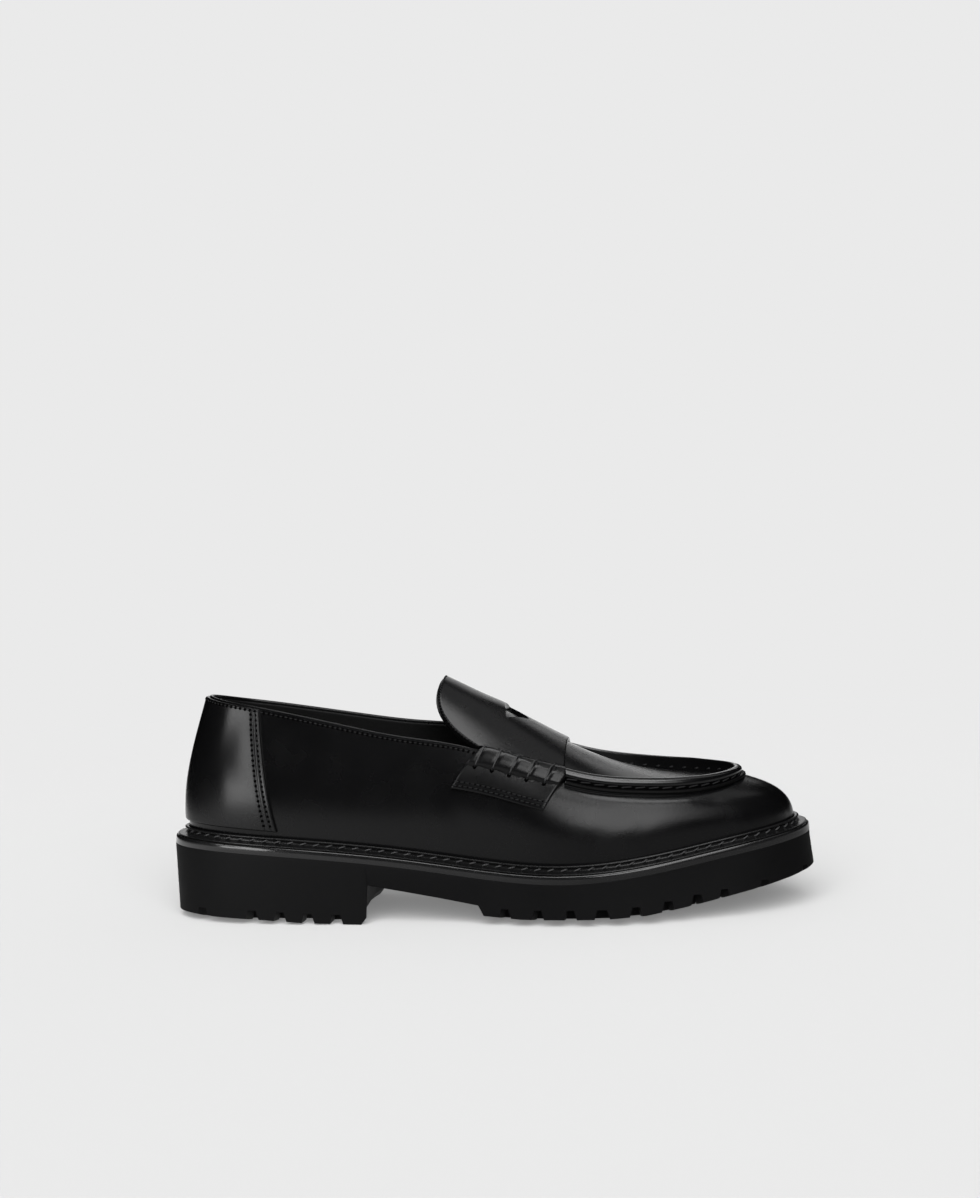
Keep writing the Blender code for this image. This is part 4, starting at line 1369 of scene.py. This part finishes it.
class LOAFER_OT_seams(bpy.types.Operator):
    """Stitch rows on the heel counter and below the collar, with their needle holes"""

    bl_idname = "loafer.seams"
    bl_label = "Counter and collar stitching"

    def execute(self, context):
        sizes = context.scene.loafer_stitching
        pitch = sizes.fine_pitch
        threads, holes = [], []
        ups = np.linspace(COUNTER_ROW_LOW, COUNTER_ROW_HIGH, 60)
        for side in (1, -1):
            for inset in COUNTER_ROWS:
                at = (counter_seam(ups) - inset / COUNTER_RUN) * side
                line, out = wall(at, ups), facing(wall, at, ups)
                line = line + out * (GAP + COUNTER - COUNTER_ROW_DEPTH)
                threads.append((line, out))
                holes.append(trimmed(line + out * COUNTER_HOLE_LIFT, out, 0.5 * pitch / MM))
        edge = float(counter_seam(0.97))
        runs = (
            (-edge + COLLAR_CLEAR, edge - COLLAR_CLEAR, GAP + COUNTER),
            (edge + COLLAR_CLEAR, THROAT, 0.0),
            (-THROAT, -edge - COLLAR_CLEAR, 0.0),
        )
        for first, last, lift in runs:
            at = np.linspace(first, last, 90)
            ups = 1 - COLLAR_ROW / climb_at_top(at)
            out = facing(wall, at, ups)
            line = wall(at, ups) + out * lift
            threads.append((line, out))
            holes.append(trimmed(line + out * COLLAR_HOLE_LIFT, out, 0.5 * pitch / MM))
        sew("seam_stitches", "stitch", threads, pitch=pitch, length=STITCH_SHARE * pitch,
            thickness=sizes.fine_thickness, slant=0.0, material=finish("thread"))
        sew("seam_needle_holes", "hole", holes, pitch=pitch, radius=0.0008, flat=0.2,
            material=finish("hole"))
        return {"FINISHED"}


def up_by(rise):
    """An upward move of one height or of a row of heights."""
    rise = np.atleast_1d(rise)
    return np.column_stack([np.zeros((len(rise), 2)), rise])


# The apron seam's section over its seat: inn is millimetres towards the apron's middle, up is a
# share of the seam's height. It runs from the inner foot over the roll to the groove and the lip.
SeamPoint = namedtuple("SeamPoint", "inn up")
SEAM_SECTION = [
    SeamPoint(1.75, 0.080),
    SeamPoint(1.60, 0.280),
    SeamPoint(1.55, 0.480),
    SeamPoint(1.62, 0.660),
    SeamPoint(1.68, 0.820),
    SeamPoint(1.55, 0.930),
    SeamPoint(1.10, 0.985),
    SeamPoint(0.45, 0.985),
    SeamPoint(-0.25, 0.950),
    SeamPoint(-0.85, 0.895),
    SeamPoint(-1.35, 0.830),
    SeamPoint(-1.66, 0.765),
    SeamPoint(-1.74, 0.690),
    SeamPoint(-1.66, 0.600),
    SeamPoint(-1.50, 0.510),
    SeamPoint(-1.20, 0.445),
    SeamPoint(-0.85, 0.400),
    SeamPoint(-0.75, 0.340),
    SeamPoint(-0.72, 0.255),
    SeamPoint(-0.95, 0.205),
    SeamPoint(-1.50, 0.190),
    SeamPoint(-2.10, 0.178),
    SeamPoint(-2.32, 0.145),
    SeamPoint(-2.36, 0.090),
    SeamPoint(-2.36, 0.000),
]
SEAM_STEPS = 57
SEAM_END = 0.02
TAPER_FROM = 8.0

# The seam leans inwards by a share of its height. Its foot lies inside the seat and its skirt below
# it, each sunk in the leather, and what stands out past the overhang follows the wall's fall.
SEAM_LEAN = 0.12
SEAM_FOOT, FOOT_SUNK = 1.75, 0.3
SEAM_SKIRT, SKIRT_SUNK = 2.2, 0.4
SEAT_SUNK = 0.5
OVERHANG, FOLLOW = 1.2, 0.6

# The seam's thread: its lift from the groove, its free ends, the inset and drop of the matt black cords
# that paint the shade in the groove and below the lip, and the inner row's place
GROOVE_LIFT, SEAM_ROW_END = 0.40, 3.0
GROOVE_SHADE_INSET, LIP_SHADE_DROP = 0.8, 0.3
INNER_SHARE = 0.4

# Columns of the finely stepped section, which starts with the foot: inner face, groove and lip
INNER_LOW, INNER_HIGH, GROOVE, SEAM_LIP = 1, 4, 41, 52


class LOAFER_OT_apron_seam(bpy.types.Operator):
    """The standing seam round the apron, its lower lip and its stitches"""

    bl_idname = "loafer.apron_seam"
    bl_label = "Apron seam"

    def execute(self, context):
        sizes = context.scene.loafer_stitching
        stations = np.concatenate([np.arange(STRAP_FRONT, 9.0, 0.04), np.linspace(9.0, TOE, 40)])
        at = np.concatenate([stations, LOOP - stations[-2::-1]])
        at[0] += SEAM_END
        at[-1] -= SEAM_END
        station = station_of(at)
        seat = wall(at, 1.0)
        inward = np.column_stack([inward_of(TOP_X, TOP_Y, at), np.zeros(len(at))])
        toe_share = np.clip((station - TAPER_FROM) / (TOE - TAPER_FROM), 0, 1)
        height = RIDGE_HEIGHT + (RIDGE_TOE_HEIGHT - RIDGE_HEIGHT) * toe_share
        slope = climb_at_top(at)
        inn = Spline([point.inn for point in SEAM_SECTION])
        up = Spline([point.up for point in SEAM_SECTION])
        apron_half = np.abs(TOP_Y(station) - TOP_Y(LOOP - station)) * WIDTH_PER_CENT / 2
        foot_share = SEAM_FOOT / np.maximum(apron_half, 4 * SEAM_FOOT)
        climb = CROWN_POWER * CROWN(station - THROAT) * foot_share
        sections = [seat + inward * SEAM_FOOT + up_by(climb - FOOT_SUNK)]
        for step in np.linspace(0, len(SEAM_SECTION) - 1, SEAM_STEPS):
            share = float(up(step))
            offset = (float(inn(step)) + SEAM_LEAN * share * height)[:, None] * inward
            outside = max(0.0, -float(inn(step)) - OVERHANG)
            fall = wall(at, 1.0 - outside / slope) - seat
            sections.append(seat + offset + up_by(share * height + FOLLOW * fall[:, 2]))
        skirt = 1.0 - SEAM_SKIRT / slope
        sections.append(wall(at, skirt) - facing(wall, at, skirt) * SKIRT_SUNK)
        sections.append(seat - up_by(SEAT_SUNK))
        stack = np.stack(sections, axis=1)
        piece = bar_solid("apron_seam_leather", stack, finish("fold"), SEAM_SHARP)
        dress(piece, "upper_leather", "apron_ridge")
        self.stitches(stack, inward, sizes.apron_pitch)
        return {"FINISHED"}

    def stitches(self, stack, inward, pitch):
        """Thick stitches in the groove outside, matt black cords painted as the shade in the groove and
        below the lip, and their inner ends.
        """
        lean = unit(up_by(0.25) - inward)
        groove = stack[:, GROOVE]
        outer = trimmed(groove + lean * GROOVE_LIFT, lean, SEAM_ROW_END)
        face = stack[:, INNER_HIGH] + (stack[:, INNER_LOW] - stack[:, INNER_HIGH]) * INNER_SHARE
        inner = trimmed(face, unit(inward), SEAM_ROW_END)
        # Painted shade: a matt black cord in the groove under the roll, and another over the lip's edge,
        # stand in for the shade there
        groove_shade = groove + inward * GROOVE_SHADE_INSET
        lip_shade = stack[:, SEAM_LIP] - up_by(LIP_SHADE_DROP)
        sew("apron_seam_bed", "cord", [(groove_shade, lean)], thickness=0.0025, material=finish("hole"))
        sew("apron_seam_rand", "cord", [(lip_shade, lean)], thickness=0.0018, material=finish("matt_shade"))
        sew("apron_seam_stitches", "stitch", [outer], pitch=pitch, length=STITCH_SHARE * pitch,
            thickness=0.0007, slant=0.10, material=finish("thread"))
        sew("apron_seam_inner_stitches", "stitch", [inner], pitch=pitch, length=0.0017,
            thickness=0.0009, slant=0.3, material=finish("thread"))


def welt_profile(at):
    """A function of (from_wall, rise, hug) that gives a loop of points on the welt."""
    inward = rim_inward(at)
    rises = np.linspace(0, 0.25, 26)
    sides = wall(at[None, :], rises[:, None])
    foot = rim(at, np.full(len(at), -LEDGE))
    bulge = -np.sum((sides[..., :2] - foot[None]) * inward[None], axis=-1)
    climb = sides[..., 2] - sides[:1, :, 2]

    def place(from_wall, rise, hug):
        lean = np.array([np.interp(rise, climb[:, i], bulge[:, i]) for i in range(len(at))])
        out = from_wall + hug * lean
        plan = foot - inward * out[:, None]
        return np.column_stack([plan, sole_top(plan[:, 0]) + GAP + rise])

    return place


# The welt's section: out from the wall, rise over the midsole, and how far it follows the wall
WeltPoint = namedtuple("WeltPoint", "out rise hug")
WELT_EDGE = LEDGE - WELT_SET_BACK
WELT_SECTION = [
    WeltPoint(0.30, 0.55 * BEAD, 1.0),
    WeltPoint(0.35, 0.85 * BEAD, 1.0),
    WeltPoint(0.70, 0.97 * BEAD, 1.0),
    WeltPoint(1.30, 1.00 * BEAD, 1.0),
    WeltPoint(1.85, 0.97 * BEAD, 1.0),
    WeltPoint(2.20, 0.88 * BEAD, 1.0),
    WeltPoint(2.18, 0.78 * BEAD, 0.95),
    WeltPoint(1.75, 0.70 * BEAD, 0.9),
    WeltPoint(1.30, 0.60 * BEAD, 0.85),
    WeltPoint(1.15, 0.46 * BEAD, 0.75),
    WeltPoint(1.30, 0.30 * BEAD, 0.6),
    WeltPoint(1.85, 0.18 * BEAD, 0.4),
    WeltPoint(2.80, 0.13 * BEAD, 0.2),
    WeltPoint(4.00, 0.12 * BEAD, 0.0),
    WeltPoint(WELT_EDGE - 0.3, 0.11 * BEAD, 0.0),
    WeltPoint(WELT_EDGE, 0.07 * BEAD, 0.0),
    WeltPoint(WELT_EDGE + 0.05, 0.00 * BEAD, 0.0),
]
WELT_STEPS = 43
WELT_FOOT = WeltPoint(0.30, 0.0, 1.0)
WELT_CHANNEL = WeltPoint(1.55, 0.44 * BEAD, 0.75)


class LOAFER_OT_welt(bpy.types.Operator):
    """The storm welt with its bead, and the thick stitches in its channel"""

    bl_idname = "loafer.welt"
    bl_label = "Welt"

    def execute(self, context):
        sizes = context.scene.loafer_stitching
        at = both_sides(COLUMNS)
        place = welt_profile(at)
        columns = [Spline(column) for column in zip(*WELT_SECTION)]
        steps = np.linspace(0, len(WELT_SECTION) - 1, WELT_STEPS)
        sections = [place(*(float(column(step)) for column in columns)) for step in steps]
        sections.append(place(*WELT_FOOT))
        piece = ring_solid("welt_leather", np.stack(sections, axis=1), finish("welt"), SEAM_SHARP)
        dress(piece, "edge_leather", "welt")
        path = place(*WELT_CHANNEL)
        inward = np.column_stack([rim_inward(at), np.zeros(len(at))])
        out = unit(up_by(0.2) - inward)
        loop = (np.concatenate([path, path[:1]]), np.concatenate([out, out[:1]]))
        sew("welt_stitches", "stitch", [loop], pitch=sizes.welt_pitch, length=sizes.welt_length,
            thickness=sizes.welt_thickness, slant=0.35, material=finish("cord"))
        return {"FINISHED"}


# Edges of the midsole from below, before its rounded rim, as how far out and how high over its
# underside. The sock's edge is how far inside its seat, and the share of its thickness.
MIDSOLE_EDGE = ((-0.12, 0.0), (-0.01, 0.12))
SOCK_EDGE = ((0.0, 0.0), (0.0, 0.6), (0.3, 0.85), (1.2, 1.0), (6.0, 1 + 0.1 / INSOLE))


class LOAFER_OT_sole(bpy.types.Operator):
    """Midsole with its rounded edge, lugged outsole and the sock inside the shoe"""

    bl_idname = "loafer.sole"
    bl_label = "Sole"

    def execute(self, context):
        at = both_sides(COLUMNS)
        levels = [(outwards, rise - MIDSOLE) for outwards, rise in MIDSOLE_EDGE]
        for bend in np.radians(np.linspace(0, 90, 7)):
            outwards = -RIM_SLOPE - RIM_ROUND * (1 - math.cos(bend))
            levels.append((outwards, -RIM_ROUND * (1 - math.sin(bend))))
        loops = [sole_loop(at, *level) for level in levels]
        dress(plate_solid("midsole_layer", loops, finish("edge")), "edge_leather", "midsole")
        seat = LEDGE + WALL + 2 * GAP
        loops = [sole_loop(at, -seat - inset, GAP + share * INSOLE) for inset, share in SOCK_EDGE]
        dress(plate_solid("sock_leather", loops, finish("lining")), "lining_leather", "insole")
        self.outsole(finish("rubber"))
        return {"FINISHED"}

    def outsole(self, surface):
        """The rubber block with its channels, cross grooves and notches cut out."""
        listed = [row.station for row in TREADS]
        stations = np.unique(np.concatenate([listed, np.arange(0, TOE, 0.1)]))
        outsole = outsole_body([tread_at(station) for station in stations], surface)
        fore = np.concatenate([np.linspace(FORE_CHANNEL_END, 9.2, 60), np.linspace(9.25, TOE, 18)])
        heel = np.linspace(0, HEEL_CHANNEL_END, 50)
        cut(outsole, channel("fore_channel", np.concatenate([fore, LOOP - fore[-2::-1]])))
        cut(outsole, channel("heel_channel", np.concatenate([heel[::-1], LOOP - heel[1:]])))
        cut(outsole, cross_grooves())
        cut(outsole, notches())
        smooth(outsole, OUTSOLE_SHARP)
        dress(outsole, "sole_rubber", "outsole")


# The outsole: places across its underside from its flat middle to its edge, how its camber rises
# there, and its upper edge from the midsole down, as how far out and how high
TREAD_HALF = (0.5, 0.6, 0.7, 0.78, 0.85, 0.92, 1.0)
TREAD_ACROSS = np.array([-spot for spot in TREAD_HALF[::-1]] + list(TREAD_HALF))
TREAD_FLAT, CAMBER_POWER = TREAD_HALF[0], 1.5
OUTSOLE_EDGE = ((-0.14, -0.02), (-0.02, -0.14), (0.0, -0.6), (0.0, -2.4))


def tread_at(station):
    """A section of the outsole's underside between the listed ones."""
    listed = [row.station for row in TREADS]
    columns = list(zip(*TREADS))[1:]
    return Tread(station, *(np.interp(station, listed, column) for column in columns))


def outsole_body(rows, surface):
    """Forefoot, waist and heel in one block, with a plain underside."""
    across = TREAD_ACROSS
    lift = np.clip((np.abs(across) - TREAD_FLAT) / (1 - TREAD_FLAT), 0, 1) ** CAMBER_POWER
    at = both_sides(np.array([row.station for row in rows]))
    loops = [(outwards, rise - MIDSOLE) for outwards, rise in OUTSOLE_EDGE]
    points = list(np.concatenate([sole_loop(at, *level) for level in loops]))
    size, count = len(at), len(rows)
    faces = strip_faces(len(loops), size, closed=True) + ladder_faces(count)
    starts = []
    for index, row in enumerate(rows):
        outer = np.array([*rim(np.array([row.station]), np.array([row.flare]))[0], 0])
        inner = np.array([*rim(np.array([LOOP - row.station]), np.array([row.flare]))[0], 0])
        share = ((across + 1) / 2)[:, None]
        line = outer * (1 - share) + inner * share
        line[:, 0] -= row.bow * (1 - across**2)
        line[:, 2] = row.floor + row.camber * lift
        starts.append(len(points))
        points.extend(line[:1] if index in (0, count - 1) else line)
    edge = starts + [starts[i] + len(across) - 1 for i in range(count - 2, 0, -1)]
    last = (len(loops) - 1) * size
    for one in range(size):
        two = (one + 1) % size
        faces.append((last + one, last + two, edge[two], edge[one]))
    for row in range(1, count - 2):
        for column in range(len(across) - 1):
            back, front = starts[row] + column, starts[row + 1] + column
            faces.append((back, front, front + 1, back + 1))
    for column in range(len(across) - 1):
        faces.append((starts[0], starts[1] + column, starts[1] + column + 1))
        faces.append((starts[-1], starts[-2] + column, starts[-2] + column + 1))
    return solid("outsole_rubber", points, faces, surface, OUTSOLE_SHARP)


# Notches between the lugs on both edges: station, width at the floor and at the root, and depth
Notch = namedtuple("Notch", "station mouth root depth")
NOTCHES = [
    Notch(1.04, 6.4, 4.4, 3.4),
    Notch(1.92, 6.4, 4.0, 4.2),
    Notch(2.30, 6.2, 3.7, 4.4),
    Notch(2.65, 6.2, 3.7, 4.4),
    Notch(3.00, 6.2, 3.7, 4.4),
    Notch(5.19, 5.8, 3.4, 4.2),
    Notch(5.62, 5.8, 3.4, 4.4),
    Notch(6.04, 5.8, 3.4, 4.4),
    Notch(6.44, 7.0, 4.4, 4.4),
    Notch(6.87, 6.0, 3.5, 4.4),
    Notch(7.29, 6.0, 3.5, 4.4),
    Notch(7.69, 6.0, 3.5, 4.2),
    Notch(8.08, 5.0, 3.2, 3.4),
    Notch(8.70, 5.0, 3.6, 2.4),
    Notch(9.50, 5.0, 3.6, 2.0),
]

# Stations of the cross grooves, and of the channels' ends behind the ball and before the heel's breast
CROSS_GROOVES = (2.11, 2.48, 5.40, 6.24, 7.08, 7.88)
FORE_CHANNEL_END, HEEL_CHANNEL_END = 5.15, 2.9


def notches():
    """Tapered notches cut in from the sole's edge between the lugs."""
    points, faces = [], []
    for notch in NOTCHES:
        row = tread_at(notch.station)
        mouth = notch.mouth + CUT_PAST * (notch.mouth - notch.root) / notch.depth
        section = (
            (-mouth, -CUT_PAST),
            (mouth, -CUT_PAST),
            (notch.root, notch.depth),
            (-notch.root, notch.depth),
        )
        for at in (notch.station, LOOP - notch.station):
            inward = rim_inward(np.array([at]))[0]
            along = np.array([inward[1], -inward[0]])
            start = rim(np.array([at]), np.array([CUT_PAST]))[0]
            faces += prism_faces(len(section), len(points))
            for depth in (0.0, LUG_REACH + CUT_PAST):
                for wide, z in section:
                    plan = start + inward * depth + along * wide / 2
                    points.append((*plan, row.floor + row.camber + z))
    return solid("notches", points, faces, finish("rubber"))


def channel(name, at):
    """A channel along the tread, inside the row of lugs at its edge."""
    inset = np.full(len(at), LUG_REACH - CHANNEL_OVERLAP)
    near, far = rim(at, -inset), rim(at, -inset - CHANNEL_WIDTH)
    middle = np.array([tread_at(station).floor for station in station_of(at)])
    levels = ((near, -CUT_PAST), (far, -CUT_PAST), (far, LUG_DEPTH), (near, LUG_DEPTH))
    sections = [np.column_stack([plan, middle + z]) for plan, z in levels]
    return bar_solid(name, np.stack(sections, axis=1), finish("rubber"))


def cross_grooves():
    """Cross grooves between the channels, which leave blocks down the middle."""
    points, faces = [], []
    inset, half = np.array([-LUG_REACH - GROOVE_INSET]), CHANNEL_WIDTH / 2
    for station in CROSS_GROOVES:
        outer, inner = [rim(np.array([at]), inset)[0] for at in (station, LOOP - station)]
        plan = [(outer[0] - half, outer[1]), (outer[0] + half, outer[1])]
        plan += [(inner[0] + half, inner[1]), (inner[0] - half, inner[1])]
        floor = tread_at(station).floor
        faces += prism_faces(len(plan), len(points))
        points += [(x, y, floor + z) for z in (-CUT_PAST, GROOVE_DEPTH) for x, y in plan]
    return solid("cross_grooves", points, faces, finish("rubber"))


# Stage

AIM = Vector((0.0, -0.00225, 0.05))
CAMERA_TURN, CAMERA_RISE, CAMERA_ROLL = 5.0, 9.5, 2.0
PICTURE_WIDTH, PICTURE_HEIGHT = 980, 1198
AIM_PIXEL = (482.93, 803.0)
PIXELS_PER_MM = 2.0804

# The tent's bright side: the direction of its middle, the cosine at its edge and the brightness
TENT_AXIS, TENT_EDGE, TENT_GLOW = (0.0, -0.819, 0.574), 0.78, 12.0

# The floor's half size in millimetres, and the distances from the shoe's middle, in metres, between
# which it turns into the even backdrop
FLOOR_HALF = 9000.0
FLOOR_NEAR, FLOOR_FAR = 0.3, 0.8

# The floor in the leather's gloss fades over spans in metres, from a first to a last share: at its
# front edge, towards the toe, behind the shoe, behind past the toe and past the heel
Fade = namedtuple("Fade", "axis start end first last")
GLOSS_FADES = (
    Fade("Y", -0.228, -0.215, 0.0, 1.0),
    Fade("X", -0.25, 0.05, 1.0, 0.3),
    Fade("Y", 0.05, 0.40, 0.0, 0.7),
    Fade("X", 0.15, 0.40, 1.0, 0.3),
    Fade("X", -0.45, -0.30, 0.0, 1.0),
)

# Soft boxes, in metres: the middles of the lower and the upper edge, the width, the brightness and
# the point that each faces. The small ones beside the heel light only the pieces there.
SoftBox = namedtuple("SoftBox", "name foot head wide glow faces")
HEEL = Vector((-0.122, -0.022, 0.06))
HEEL_PIECES = ("heel_counter", "midsole", "outsole", "welt", "saddle")
SOFT_BOXES = [
    SoftBox("front_low_box", (0.293, -1.362, 0.125), (0.364, -0.977, 0.820), 0.60, 2.2, AIM),
    SoftBox("front_high_box", (0.429, -0.953, 0.820), (0.391, -0.496, 1.110), 0.32, 2.2, AIM),
    SoftBox("front_side_box", (0.788, -1.161, 0.238), (0.618, -0.618, 1.008), 0.24, 0.7, AIM),
    SoftBox("top_box", (0.10, -0.39, 1.20), (0.10, 0.10, 1.20), 0.80, 2.7, AIM),
    SoftBox("top_fill", (0.467, 0.712, 0.924), (0.395, 0.28, 1.186), 0.45, 0.25, AIM),
    SoftBox("heel_low_box", (-0.227, -0.194, 0.012), (-0.227, -0.194, 0.058), 0.115, 3.2, HEEL),
    SoftBox("heel_side_box", (-0.204, -0.212, 0.058), (-0.204, -0.212, 0.135), 0.055, 2.8, HEEL),
    SoftBox("heel_high_box", (-0.253, -0.174, 0.135), (-0.253, -0.174, 0.22), 0.13, 3.4, HEEL),
    SoftBox("back_low_box", (-0.15, 1.2, 0.0), (-0.15, 1.2, 0.42), 0.70, 0.78, AIM),
    SoftBox("back_high_box", (-0.05, 1.2, 0.45), (-0.05, 1.2, 0.85), 0.90, 0.6, AIM),
]


def direction(turn, rise):
    """The unit vector at a turn from the front and a rise over the floor."""
    return Vector((math.sin(turn) * math.cos(rise), -math.cos(turn) * math.cos(rise), math.sin(rise)))


def matrix_of(columns):
    """The placing of an object by its three axes and its position."""
    return Matrix([[column[i] for column in columns] for i in range(3)] + [[0, 0, 0, 1]])


class LOAFER_OT_stage(bpy.types.Operator):
    """Pale floor that turns into an even backdrop, soft boxes, tent and camera"""

    bl_idname = "loafer.stage"
    bl_label = "Stage"

    def execute(self, context):
        stage = context.scene.loafer_stage
        floor = self.floor(stage)
        self.lights(floor)
        self.fill(floor, stage)
        self.tent(stage)
        self.camera(stage)
        return {"FINISHED"}

    def floor(self, stage):
        """The floor, which far away is as even as the backdrop and in the gloss is dimmer."""
        corners = ((-1, -1), (1, -1), (1, 1), (-1, 1))
        points = [(x * FLOOR_HALF, y * FLOOR_HALF, 0.0) for x, y in corners]
        made, tree, shader = finish_of("pale_floor", stage.floor, 0.9, Specular_IOR_Level=0.0)
        shader.inputs["Emission Color"].default_value = (1, 1, 1, 1)
        shader.inputs["Emission Strength"].default_value = stage.glow
        glossy = node(tree, "ShaderNodeLightPath").outputs["Is Glossy Ray"]
        even = node(tree, "ShaderNodeEmission", {"Strength": stage.horizon})
        links = {0: self.far(tree), 1: shader.outputs["BSDF"], 2: even.outputs["Emission"]}
        seen = node(tree, "ShaderNodeMixShader", links)
        dim = node(tree, "ShaderNodeEmission", {"Strength": self.table(tree, stage)})
        links = {0: glossy, 1: seen.outputs["Shader"], 2: dim.outputs["Emission"]}
        both = node(tree, "ShaderNodeMixShader", links)
        tree.links.new(both.outputs["Shader"], tree.nodes["Material Output"].inputs["Surface"])
        made.cycles.emission_sampling = "NONE"
        floor = solid("floor", points, [(0, 1, 2, 3)], made)
        return floor

    def far(self, tree):
        """0 round the shoe and 1 far from it, where the floor turns into the even backdrop."""
        place = own_place(tree)
        away = node(tree, "ShaderNodeVectorMath", {0: place}, operation="LENGTH").outputs["Value"]
        return span(tree, away, FLOOR_NEAR, FLOOR_FAR, interpolation_type="SMOOTHSTEP")

    def table(self, tree, stage):
        """The floor's brightness in the gloss: a table with a front edge, darker towards the toe."""
        apart = node(tree, "ShaderNodeSeparateXYZ", {0: own_place(tree)}).outputs
        edge, toewards, back, end, start = [
            span(tree, apart[fade.axis], *fade[1:]) for fade in GLOSS_FADES
        ]
        near = times(tree, times(tree, edge, toewards), stage.floor_gloss)
        behind = times(tree, back, end)
        both = node(tree, "ShaderNodeMath", {0: near, 1: behind}, operation="ADD").outputs[0]
        return times(tree, both, start)

    def lights(self, floor):
        """Soft boxes that light the shoe and not the floor."""
        lit = bpy.data.collections.new("lit_pieces")
        lit_heel = bpy.data.collections.new("lit_heel_pieces")
        for piece in bpy.context.scene.objects:
            if piece.type == "MESH" and piece != floor:
                lit.objects.link(piece)
                if piece.name.startswith(HEEL_PIECES):
                    lit_heel.objects.link(piece)
        for row in SOFT_BOXES:
            foot, head = Vector(row.foot), Vector(row.head)
            middle = (foot + head) / 2
            rise = (head - foot).normalized()
            across = rise.cross(middle - row.faces).normalized()
            data = bpy.data.lights.new(row.name, "AREA")
            data.shape = "RECTANGLE"
            data.size, data.size_y = row.wide, (head - foot).length
            data.energy = row.glow * math.pi * data.size * data.size_y
            light = bpy.data.objects.new(row.name, data)
            light.matrix_world = matrix_of([across, rise, across.cross(rise), middle])
            light.visible_camera = False
            light.light_linking.receiver_collection = lit_heel if row.faces == HEEL else lit
            bpy.context.scene.collection.objects.link(light)

    def fill(self, floor, stage):
        """An even light from above on the floor alone, which casts no shadow."""
        lit = bpy.data.collections.new("lit_floor")
        lit.objects.link(floor)
        data = bpy.data.lights.new("floor_fill", "SUN")
        data.energy = stage.fill
        data.use_shadow = False
        light = bpy.data.objects.new("floor_fill", data)
        light.location = (0, 0, 2)
        light.light_linking.receiver_collection = lit
        bpy.context.scene.collection.objects.link(light)

    def tent(self, stage):
        """An even pale room with more light from the front, left out of the gloss."""
        world = bpy.data.worlds.new("tent")
        world.use_nodes = True
        tree = world.node_tree
        place = node(tree, "ShaderNodeTexCoord").outputs["Generated"]
        links = {0: place, 1: TENT_AXIS}
        facing_front = node(tree, "ShaderNodeVectorMath", links, operation="DOT_PRODUCT").outputs["Value"]
        front = span(tree, facing_front, TENT_EDGE, 1.0, 0.0, TENT_GLOW, interpolation_type="SMOOTHSTEP")
        room = node(tree, "ShaderNodeMath", {0: front, 1: stage.room}, operation="ADD").outputs[0]
        seen = node(tree, "ShaderNodeLightPath").outputs["Is Camera Ray"]
        tent = tree.nodes["Background"]
        tent.inputs["Color"].default_value = (1, 1, 1, 1)
        tree.links.new(span(tree, seen, 0.0, 1.0, room, stage.horizon), tent.inputs["Strength"])
        world.cycles_visibility.glossy = False
        bpy.context.scene.world = world

    def camera(self, stage):
        """The camera, aimed so that the shoe stands at its place in the frame."""
        focal = PIXELS_PER_MM * stage.distance / MM
        turn, rise, roll = (math.radians(a) for a in (CAMERA_TURN, CAMERA_RISE, CAMERA_ROLL))
        pitch = rise - math.atan((AIM_PIXEL[1] - PICTURE_HEIGHT / 2) / focal)
        yaw = turn + math.atan((AIM_PIXEL[0] - PICTURE_WIDTH / 2) / focal)
        place = AIM + direction(turn, rise) * stage.distance
        ahead = -direction(yaw, pitch)
        right = ahead.cross(Vector((0, 0, 1))).normalized()
        up = right.cross(ahead)
        tilted_right = right * math.cos(roll) - up * math.sin(roll)
        tilted_up = up * math.cos(roll) + right * math.sin(roll)
        data = bpy.data.cameras.new("camera")
        data.sensor_width = 36.0
        data.sensor_fit = "HORIZONTAL"
        data.lens = focal / PICTURE_WIDTH * data.sensor_width
        data.clip_end = 50.0
        camera = bpy.data.objects.new("camera", data)
        camera.matrix_world = matrix_of([tilted_right, tilted_up, -ahead, place])
        bpy.context.scene.collection.objects.link(camera)
        bpy.context.scene.camera = camera


class LOAFER_PT_panel(bpy.types.Panel):
    """Sidebar panel with the loafer's settings and build steps"""

    bl_idname = "LOAFER_PT_panel"
    bl_label = "Loafer"
    bl_space_type = "VIEW_3D"
    bl_region_type = "UI"
    bl_category = "Loafer"

    def draw(self, context):
        for name in GROUPS:
            group = getattr(context.scene, name)
            box = self.layout.box()
            for key in group.bl_rna.properties.keys():
                if key not in ("rna_type", "name"):
                    box.prop(group, key)
        for step in STEPS:
            self.layout.operator(step.bl_idname)


STEPS = (
    LOAFER_OT_upper,
    LOAFER_OT_counter,
    LOAFER_OT_saddle,
    LOAFER_OT_seams,
    LOAFER_OT_apron_seam,
    LOAFER_OT_welt,
    LOAFER_OT_sole,
    LOAFER_OT_stage,
)
GROUPS = {
    "loafer_finish": LoaferFinish,
    "loafer_stitching": LoaferStitching,
    "loafer_stage": LoaferStage,
}


def register():
    for made in (*GROUPS.values(), *STEPS, LOAFER_PT_panel):
        bpy.utils.register_class(made)
    for name, group in GROUPS.items():
        setattr(bpy.types.Scene, name, PointerProperty(type=group))


def unregister():
    for name in GROUPS:
        delattr(bpy.types.Scene, name)
    for made in (LOAFER_PT_panel, *STEPS[::-1], *GROUPS.values()):
        bpy.utils.unregister_class(made)


def main():
    """Builds every piece in order, after clearing old lights, cameras and the default cube."""
    for old in list(bpy.data.objects):
        if old.type in ("LIGHT", "CAMERA") or old.name == "Cube":
            bpy.data.objects.remove(old)
    register()
    scene = bpy.context.scene
    scene.view_settings.view_transform = "Standard"
    for step in STEPS:
        group, name = step.bl_idname.split(".")
        getattr(getattr(bpy.ops, group), name)()


if __name__ == "__main__":
    main()
